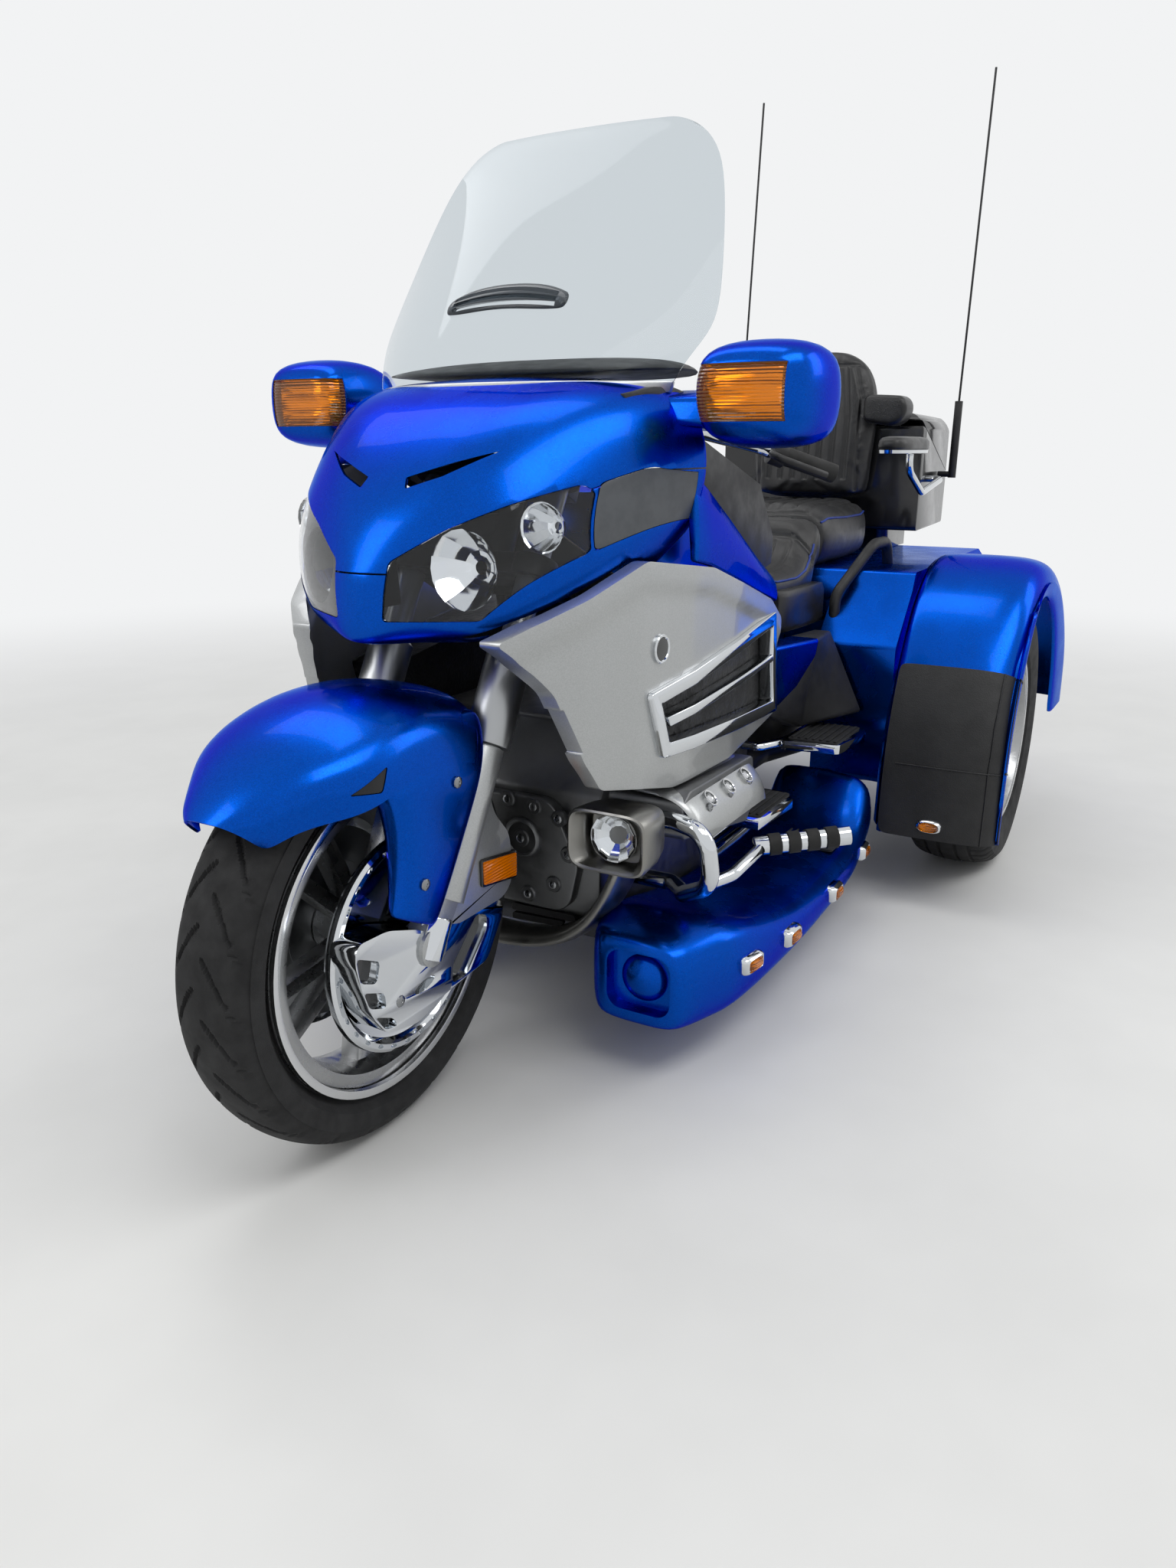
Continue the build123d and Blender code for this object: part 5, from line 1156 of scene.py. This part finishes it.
screws = screwHeads("brakeScrews", brake["screw"], (0, 1, 0), 9, 2.5)
mirrorSides(plated, inserts, screws)
settle(plated, "steering", "chrome", ["brake_covers"], smooth=32)
settle(inserts, "steering", "black_gloss", ["brake_covers"])
settle(screws, "steering", "chrome", ["brake_covers"], material=boltSteel)
print("brake covers")

# Silver fork shields with an amber reflector in a black frame
shield = {
    "outline": [(905, 590), (875, 575), (856, 480), (812, 430), (806, 352), (830, 330), (960, 330),
                (985, 345), (985, 420)],
    "low": 100, "high": 131,
    "reflector": [(893, 409), (801, 396), (802, 357), (892, 371)],
}
bracket = plate("forkShields", shield["outline"], "y", shield["low"], shield["high"], 16)
bevelled(bracket, 6, 40, 4)
high = shield["high"]
surround = plate("reflectorFrames", grownOutline(shield["reflector"], 4), "y", high - 4, high + 4, 5)
bevelled(surround, 1.5, 40, 2)
glass = plate("forkReflectors", shield["reflector"], "y", high - 2, high + 6, 3)
bevelled(glass, 1.2, 40, 2)
mirrorSides(bracket, surround, glass)
settle(bracket, "steering", "silver_paint")
settle(surround, "steering", "black_gloss")
settle(glass, "steering", "amber_lens", material=amberBlock)
print("fork shields")

# Badge disc, bare, on each cowl
badge = {
    "place": (652, 717), "facing": (0.08, 1, 0),
    "rim": [(-4, 22), (3.0, 23), (4.4, 21.5), (4.2, 19), (2.6, 18), (2.4, 10), (2.4, 2)],
    "face": [(1, 18.2), (2.9, 18), (3.3, 12), (3.4, 3)],
}
x, z = badge["place"]
rim = turned("badgeRims", badge["rim"], (x, cowlSkin(x, z), z), badge["facing"], 40)
face = turned("badgeFaces", badge["face"], (x, cowlSkin(x, z), z), badge["facing"], 40)
mirrorSides(rim, face)
settle(rim, "chassis", "chrome")
settle(face, "chassis", "black_gloss")

# Screen: a slatted air vent at its centre
vent = {
    "z": 1240, "half": 112, "high": 21, "bow": 12, "thick": 9, "steps": 22, "facets": 14,
    "slats": (-11, 0, 11), "slotHalf": 98, "slotHigh": 6.4, "slotSteps": 16,
}


def onScreen(y, z):
    # x of the screen's skin at this place
    for low, high in zip(screen["rows"], screen["rows"][1:]):
        if low[0] <= z <= high[0]:
            s = (z - low[0]) / (high[0] - low[0])
            row = tuple(a + (b - a) * s for a, b in zip(low, high))
            return screenPoint(row, y / row[3])[0]


def ventZ(y):
    return vent["z"] + vent["bow"] / 2 - vent["bow"] * (y / vent["half"]) ** 2


rings = []
for t in evenly(vent["steps"]):
    y = vent["half"] * t
    h = vent["high"] * (1 - 0.45 * (abs(y) / vent["half"]) ** 4)
    rings.append([(onScreen(y, ventZ(y) + h * s) + 2 + vent["thick"] * c, y, ventZ(y) + h * s)
                  for c, s in around(vent["facets"])])
shell = cage("ventShell", rings, ring=True, closed=True)
rounded(shell, 1)
for lift in vent["slats"]:
    slot = []
    for t in evenly(vent["slotSteps"]):
        y = vent["slotHalf"] * t
        slot.append((y, ventZ(y) + lift * (1 - 0.35 * (y / vent["half"]) ** 2) + vent["slotHigh"] / 2))
    slot += [(y, z - vent["slotHigh"]) for y, z in slot[::-1]]
    carve(shell, plate("cutter", slot, "x", 590, 700))
settle(shell, "chassis", "black_gloss", material=smoked)
# Silver strip along the screen's foot: its section is (up the screen, square to it)
foot = {"section": [(-2, 5), (12, 4), (16, 2.6), (16, -2.6), (12, -4), (-2, -5)], "steps": 40}
rings = []
for t in evenly(foot["steps"]):
    here, above = (Vector(screenPoint(row, t)) for row in screen["rows"][:2])
    up = (above - here).normalized()
    out = Vector((up.z, 0, -up.x))
    rings.append([tuple(here + up * a + out * b) for a, b in foot["section"]])
strip = cage("screenFoot", rings, ring=True, closed=True)
bevelled(strip, 1, 40, 2)
settle(strip, "chassis", "silver_paint")

# Rounded hood between dash and screen: rings along x of half width and top, its base above the steered bars
hood = {
    "rings": [(632, 200, 1132), (618, 226, 1137), (570, 250, 1147), (500, 262, 1158), (430, 262, 1162),
              (400, 256, 1155), (392, 248, 1138)],
    "base": 1125,
}
rings = []
for x, half, top in hood["rings"]:
    h = top - hood["base"]
    left = [(half, 0), (half, h * 0.5), (half * 0.82, h * 0.86), (half * 0.4, h)]
    rings.append(symmetric((x, 0, hood["base"]), [(x, y, hood["base"] + up) for y, up in left],
                           (x, 0, top)))
pad = cage("dashHood", rings, ring=True, closed=True)
rounded(pad, 2)
settle(pad, "chassis", "black_plastic")
print("screen vent")

# Fog lamps: bevelled square housings with a reflector behind a clear disc
fog = {
    "place": (660, 277, 424),
    "house": [(0, 50, 38), (10, 58, 44), (45, 67, 49), (92, 71, 52), (102, 69.5, 51), (104, 66, 48),
              (101, 62, 45), (80, 52, 43), (74, 47, 42), (60, 46, 42), (58, 30, 28)],
    "lens": [(70, 30), (72, 40), (78, 40), (82, 37), (86, 28), (88.5, 14), (89, 3)],
    "arm": [(0, 10), (30, 10)], "armFoot": (641.3, 240, 430),
    "bowl": (737, 276, 424), "bowlR": 38, "bowlDeep": 20,
}
house = stack("fogHousings", fog["house"], fog["place"], (1, 0, 0), 5.0, 48)
arm = turned("arm", fog["arm"], fog["armFoot"], (1, 0, 0), 20)
glass = turned("fogLenses", fog["lens"], fog["place"], (1, 0, 0), 40)
bowl = cage("fogBowls", bowlRows(fog["bowl"], fog["bowlR"], fog["bowlDeep"], 0.85, 5, 24, 0.05), ring=True)
house = joined([house, arm], "fogHousings")
mirrorSides(house, glass, bowl)
settle(house, "chassis", "silver_paint", ["fog_housings"], smooth=38, material=titanium)
settle(glass, "chassis", "clear_lens", ["fog_lenses"])
settle(bowl, "chassis", "polished_alloy", ["fog_lenses"], smooth=12, material=bowlSilver)
print("fog lamps")

# Engine front cover: bolted plate with a round boss, and two slots under it
block = {
    "bolts": [(84, 426), (134, 412), (152, 350), (122, 290), (70, 262), (30, 432)],
    "small": [(-6, 14), (2, 15), (5, 13), (5, 3)],
    "boss": (60, 366), "large": [(-6, 38), (3, 37), (7, 34), (9, 31), (6, 28), (6, 16), (9, 14), (9, 3)],
    "face": 664, "slots": [[(20, 226), (150, 228), (154, 216), (20, 213)],
                           [(20, 208), (128, 212), (124, 201), (20, 196)]],
}
x = block["face"]
bosses = [turned("boss", block["small"], (x, y, z), (1, 0, 0), 20) for y, z in block["bolts"]]
bosses.append(turned("boss", block["large"], (x, *block["boss"]), (1, 0, 0), 40))
bosses = joined(bosses, "engineBosses")
places = [(x + 4, y, z) for y, z in block["bolts"]] + [(x + 9, *block["boss"])]
bolts = screwHeads("engineBolts", places, (1, 0, 0), 8, 3)
vents = joined([plate("slot", outline, "x", x - 30, x - 21, 4) for outline in block["slots"]],
               "engineSlots")
mirrorSides(bosses, bolts, vents)
settle(bosses, "chassis", "cast_alloy")
settle(bolts, "chassis", "polished_alloy", material=boltSteel)
settle(vents, "chassis", "black_plastic")
print("engine cover")

# Cylinder head covers: a bright plate with three round recesses and a flute
heads = {
    "outline": [(606, 386), (606, 456), (580, 472), (310, 466), (300, 378), (330, 352)],
    "holes": (370, 460, 550), "holeZ": 436, "flute": [(590, 398), (320, 392), (320, 398), (590, 404)],
    "low": 340.3, "high": 370,
}
headCover = plate("headCovers", heads["outline"], "y", heads["low"], heads["high"], 16)
bevelled(headCover, 5, 40, 4)
for x in heads["holes"]:
    carve(headCover, turned("cutter", [(0, 13), (20, 14)], (x, 360, heads["holeZ"]), (0, 1, 0), 32))
carve(headCover, plate("cutter", heads["flute"], "y", 366, 380, 2))
bevelled(headCover, 0.8, 50)
studs = screwHeads("headStuds", [(x, 362, heads["holeZ"]) for x in heads["holes"]], (0, 1, 0), 8, 3)
mirrorSides(headCover, studs)
settle(headCover, "chassis", "chrome", ["head_covers"], material=finishes["polished_alloy"])
settle(studs, "chassis", "polished_alloy", material=boltSteel)

# Silver belly pan that frames the engine's front cover
belly = {
    "path": [(266, 392), (246, 330), (212, 258), (154, 204), (82, 180), (0, 172)],
    "section": [(600, -6), (676, -10), (688, -4), (692, 6), (684, 18), (600, 24)],
}
path = [Vector(p) for p in belly["path"]]
path = path + [Vector((-p.x, p.y)) for p in path[-2::-1]]
rings = []
for i, p in enumerate(path):
    run = runAt(path, i)
    out = Vector((run.y, -run.x))
    # away from the engine: down below it, outwards at its sides
    if out.y > 0 and abs(p.x) < 200 or out.x * p.x < 0:
        out = -out
    rings.append([(x, p.x + out.x * n, p.y + out.y * n) for x, n in belly["section"]])
pan = cage("bellyPan", rings, ring=True, closed=True)
rounded(pan, 2)
settle(pan, "chassis", "silver_paint", material=titanium)
print("engine trims")

# Bright lips on the rims
lips = {"front": (243, 57.5), "rear": (204, 88.5)}   # radius, half distance


def rimLips(name, kind, body):
    (x, y, z), (r, half) = axleOf[body], lips[kind]
    section = [(-7, r - 12), (0.6, r - 11), (1.6, r - 6), (1.0, r + 0.5), (-5, r + 1), (-7, r - 2),
               (-7, r - 12)]
    parts = [turned("lip", section, (x, y + way * half, z), (0, way, 0), 96, False) for way in (1, -1)]
    settle(joined(parts, name), body, "polished_alloy")


rimLips("frontRimLips", "front", "front_wheel")
for side, sign in rearSides:
    rimLips(side + "RimLips", "rear", "rear_wheel_" + side)

# Rear hubs: a chrome cap and five nuts, by how far they stand out from the wheel's centre
hub = {
    "cap": [(-4, 34.5), (2, 35), (8, 33), (14, 26), (17, 14), (17.5, 3)], "face": 74,
    "nutFace": 64, "nutR": 53, "nuts": 5,
}
for side, sign in rearSides:
    x, y, z = axleOf["rear_wheel_" + side]
    hubCap = turned(side + "HubCap", hub["cap"], (x, y + sign * hub["face"], z), (0, sign, 0), 40)
    turns = [2 * pi * (k + 0.5) / hub["nuts"] for k in range(hub["nuts"])]
    places = [(x + hub["nutR"] * cos(a), y + sign * hub["nutFace"], z + hub["nutR"] * sin(a))
              for a in turns]
    nuts = screwHeads(side + "WheelNuts", places, (0, sign, 0), 9, 8)
    settle(hubCap, "rear_wheel_" + side, "chrome")
    settle(nuts, "rear_wheel_" + side, "chrome")

# A latch with a sunk grip on the rear door
latch = {"outline": [(-64, 612), (64, 612), (54, 642), (-54, 642)], "back": -1338.5, "front": -1331,
         "sink": 2.5}
grip = plate("doorLatch", latch["outline"], "x", latch["back"], latch["front"], 10)
bevelled(grip, 2, 40, 3)
carve(grip, plate("cutter", grownOutline(latch["outline"], -8), "x", -1345, latch["back"] + latch["sink"],
                  6))
settle(grip, "body_door", "chrome")
print("rim lips")

# Rubber on the pegs, and ribbed mats on the foot boards and on the running boards: x, y, z, number of ribs
tread = {
    "peg": ((428, 398, 334), (330, 540, 350)), "sleeves": 4,
    "sleeve": [(0, 17.1), (1.5, 20), (22, 20), (23.5, 17.1)],
    "mats": [((34, 214), (206, 326), 312, 7), ((-288, -112), (262, 376), 392, 7),
             ((-104, 40), (300, 424), 203, 9)],
}
start, end = (Vector(p) for p in tread["peg"])
rubbers = []
for i in range(tread["sleeves"]):
    foot = start.lerp(end, 0.14 + 0.2 * i)
    rubbers.append(turned("sleeve", tread["sleeve"], foot, end - start, 24))
for (x0, x1), (y0, y1), z, count in tread["mats"]:
    rubbers.append(plate("mat", [(x0, y0), (x1, y0), (x1, y1), (x0, y1)], "z", z - 2, z + 2.5, 8))
    pitch = (y1 - y0) / count
    ends, low, high = (x0 + 8, x1 - 8), y0 + pitch * 0.3, y0 + pitch * 0.7
    first = plate("rib", [(ends[0], low), (ends[1], low), (ends[1], high), (ends[0], high)], "z", z + 2,
                  z + 6)
    bevelled(first, 1.2, 40, 2)
    rubbers.append(first)
    for k in range(1, count):
        twin = copyOf(first, "rib")
        twin.location.y = pitch * k / 1000
        rubbers.append(twin)
rubbers = joined(rubbers, "stepRubbers")
mirrorSides(rubbers)
settle(rubbers, "chassis", "rubber")
print("step rubbers")

# Silver shrouds over the cylinder heads, sloped outwards, with three round recesses each
shroud = {
    "section": [(240, 474), (292, 474), (334, 464), (358, 442), (373.5, 412), (375, 392)],
    "x": [(610, 8), (604, 0), (560, 0), (480, 0), (400, 0), (318, 0), (308, 8)],
    "holes": (376, 456, 536), "hole": (356, 448), "lean": (0, 0.72, 0.7), "wall": 4,
    "bore": [(-12, 12), (16, 12)],
    "well": [(-9, 12.2), (1, 12.2), (2.2, 13.5), (2.2, 15.4), (0, 15.8), (-9, 14)],
    "stud": [(-9, 12.2), (-8, 12), (-5, 7), (-1, 6.5), (-1, 2)],
}
cap = cage("headShrouds", [[(x, y - drop * 0.6, z - drop) for y, z in shroud["section"]]
                           for x, drop in shroud["x"]])
rounded(cap, 2)
shelled(cap, shroud["wall"])
wells = []
for x in shroud["holes"]:
    place = (x, *shroud["hole"])
    carve(cap, turned("cutter", shroud["bore"], place, shroud["lean"], 32))
    wells.append(turned("well", shroud["well"], place, shroud["lean"], 32, False))
    wells.append(turned("stud", shroud["stud"], place, shroud["lean"], 24))
wells = joined(wells, "shroudWells")
mirrorSides(cap, wells)
settle(cap, "chassis", "silver_paint", smooth=40)
settle(wells, "chassis", "polished_alloy")
print("head shrouds")

# Marker lamps: chrome eight-sided bezels with an amber lens, square to the board's edge and on the covers
marker = {
    "bezel": [(-6, 30, 17), (6, 30, 17), (12, 27, 14), (14, 23, 11.5), (11, 21, 10), (11, 8, 4)],
    "lens": [(8, 21, 10.5), (15, 20, 9.5), (18, 15, 6.5), (19, 6, 3)],
    "onBoard": [(560, 176), (400, 166), (150, 162), (-110, 162)],
    "onCover": (-247.5, 560, 196),
}
edgeTable = [(x, y1) for x, y0, y1, z0, z1 in board["rings"]]
# each lamp: its place, the way it faces, and how square its bezel and its lens are
lamps = []
for x, z in marker["onBoard"]:
    slope = (along(edgeTable, x + 20) - along(edgeTable, x - 20)) / 40
    lamps.append(((x, along(edgeTable, x) - 4, z), (-slope, 1, 0), 5.0, 3.0))
lamps.append((marker["onCover"], (1, 0, 0), 2.4, 2.4))
bezels = [stack("bezel", marker["bezel"], place, facing, power, 32) for place, facing, power, _ in lamps]
lenses = [stack("lens", marker["lens"], place, facing, power, 24) for place, facing, _, power in lamps]
bezels, lenses = joined(bezels, "markerBezels"), joined(lenses, "markerLenses")
mirrorSides(bezels, lenses)
settle(bezels, "chassis", "chrome", ["marker_lamps"])
settle(lenses, "chassis", "amber_lens", ["marker_lamps"])
print("marker lamps")

# Armrests: a leather top on a chrome band
armrest = {
    "place": (-660, 331, 1000), "band": [(0, 132, 36), (1.5, 137, 40), (9, 138, 41), (11, 134, 37)],
    "pad": [(9, 132, 36), (12, 139, 41), (20, 140, 41.5), (30, 139, 40.5), (37, 132, 34), (40, 108, 20),
            (40.5, 60, 8)],
}
pads = stack("armrestPads", armrest["pad"], armrest["place"], (0, 0, 1), 3.2, 48)
band = stack("armrestBands", armrest["band"], armrest["place"], (0, 0, 1), 3.2, 48)
mirrorSides(pads, band)
settle(pads, "chassis", "leather", ["armrest_pads"], smooth=60)
settle(band, "chassis", "chrome", ["armrest_pads"])
print("armrests")

# Hard pieces kept from the CAD with their edges softened, by that many millimetres
edgeWidth = {"trunk_base": 2.5, "trunk_lid": 2.5, "tank_shelter": 4, "foot_boards": 1.5, "engine": 4,
             "engine_front_cover": 3, "side_covers": 3, "rear_covers": 4, "cowl_vents": 1.5, "dashboard": 3,
             "body_door": 1.5, "mud_flaps": 1, "tail_lamps": 1, "front_rim": 1.5, "rear_rim_left": 1.5,
             "rear_rim_right": 1.5, "fork": 1, "fork_covers": 1, "triple_clamp": 1.5, "handlebar": 0.6,
             "bar_controls": 1.5, "grips": 1, "engine_guards": 0.6, "grab_rails": 0.6, "armrest_posts": 0.6,
             "antennas": 0.5, "frame": 1, "rear_axle": 1, "exhausts": 0.6, "front_brake_discs": 0.4,
             "radiators": 0.8, "plate_bracket": 0.5}
ownFinish = {"radiators": meshBlack, "engine_front_cover": finishes["cast_alloy"],
             "front_rim": rimSilver, "rear_rim_left": rimSilver, "rear_rim_right": rimSilver}
# names that a node's own name would clash with
ownName = {"engine": "engineBlock", "frame": "mainFrame", "fork": "forkLegs", "handlebar": "handlebarTube",
           "grips": "barGrips", "antennas": "whipAntennas", "exhausts": "exhaustPipes",
           "radiators": "radiatorCores", "dashboard": "dashPanel"}
for node, width in edgeWidth.items():
    words = node.split("_")
    piece = cadCopy(node, ownName.get(node, words[0] + "".join(w.title() for w in words[1:])), width)
    settle(piece, bodyOf[node], slotOf[node], [node], smooth=35, material=ownFinish.get(node))
print("softened pieces")

# Studio: pale floor and backdrop, soft boxes by place, aim, size and watts, and the photo's camera
studio = {
    "floor": "#E6E6E4",
    "boxes": [((1.0, 2.4, 4.0), (0, 0.2, 0.4), (3.6, 1.6), 60),
              ((3.6, -1.8, 2.8), (0.6, 0, 0.6), (1.6, 2.2), 34),
              ((-2.8, 3.4, 3.0), (-0.6, 0, 0.5), (1.8, 2.4), 34),
              ((-0.2, -1.2, 4.2), (0, 0, 0), (1.2, 4.0), 36)],
    "backdrop": "#F2F3F4", "fadeFrom": 1.6, "fadeTo": 6.0, "floorSize": 60,
    "camera": (2.194, 1.058, 1.019), "look": (-0.832, -0.472, -0.292), "lens": 25.45,
}


def seenOrMirrored(tree):
    # 1 for rays from the camera and for those in gloss and glass
    rays = addNode(tree, "ShaderNodeLightPath", {}).outputs
    gloss = addNode(tree, "ShaderNodeMath", {"operation": "MAXIMUM"},
                    [(0, rays["Is Glossy Ray"]), (1, rays["Is Transmission Ray"])])
    both = addNode(tree, "ShaderNodeMath", {"operation": "MAXIMUM"},
                   [(0, rays["Is Camera Ray"]), (1, gloss.outputs["Value"])])
    return both.outputs["Value"]


focus(None)
bpy.ops.mesh.primitive_plane_add(size=studio["floorSize"], location=(0, 0, 0))
floor = bpy.context.object
floor.name = "studioFloor"
material, tree, shader, place = startFinish("studio floor", studio["floor"], Roughness=0.5)
tint(tree, shader, place, "#E4E4E2", "#E8E8E6", 400)
floor.data.materials.append(material)
# far from the object the floor turns into the pale backdrop, to the eye and in gloss and glass
away = addNode(tree, "ShaderNodeVectorMath", {"operation": "LENGTH"}, [("Vector", place)])
fade = addNode(tree, "ShaderNodeMapRange", {"interpolation_type": "SMOOTHSTEP",
                                            "From Min": studio["fadeFrom"], "From Max": studio["fadeTo"]},
               [("Value", away.outputs["Value"])])
share = addNode(tree, "ShaderNodeMath", {"operation": "MULTIPLY"}, [(0, fade.outputs["Result"]),
                                                                    (1, seenOrMirrored(tree))])
glow = addNode(tree, "ShaderNodeEmission", {"Color": hexColour(studio["backdrop"]), "Strength": 1.0})
blend = addNode(tree, "ShaderNodeMixShader", {}, [(0, share.outputs["Value"]), (1, shader.outputs["BSDF"]),
                                                  (2, glow.outputs["Emission"])])
tree.links.new(blend.outputs["Shader"], tree.nodes["Material Output"].inputs["Surface"])
world = bpy.data.worlds.new("studio")
bpy.context.scene.world = world
world.use_nodes = True
tree = world.node_tree
sky = tree.nodes["Background"]
sky.inputs["Color"].default_value = hexColour(studio["backdrop"])
strength = addNode(tree, "ShaderNodeMapRange", {"To Min": 0.55, "To Max": 1.0},
                   [("Value", seenOrMirrored(tree))])
tree.links.new(strength.outputs["Result"], sky.inputs["Strength"])
for i, (where, target, size, power) in enumerate(studio["boxes"]):
    light = bpy.data.lights.new(f"softBox{i}", "AREA")
    light.shape = "RECTANGLE"
    light.size, light.size_y = size
    light.energy = power
    box = bpy.data.objects.new(f"softBox{i}", light)
    bpy.context.scene.collection.objects.link(box)
    box.location = where
    box.rotation_euler = (Vector(target) - Vector(where)).to_track_quat("-Z", "Y").to_euler()
camera = bpy.data.objects.new("camera", bpy.data.cameras.new("camera"))
bpy.context.scene.collection.objects.link(camera)
camera.location = studio["camera"]
camera.rotation_euler = Vector(studio["look"]).to_track_quat("-Z", "Y").to_euler()
camera.data.lens = studio["lens"]
camera.data.sensor_width = 36
bpy.context.scene.camera = camera
bpy.context.scene.view_settings.view_transform = "Standard"
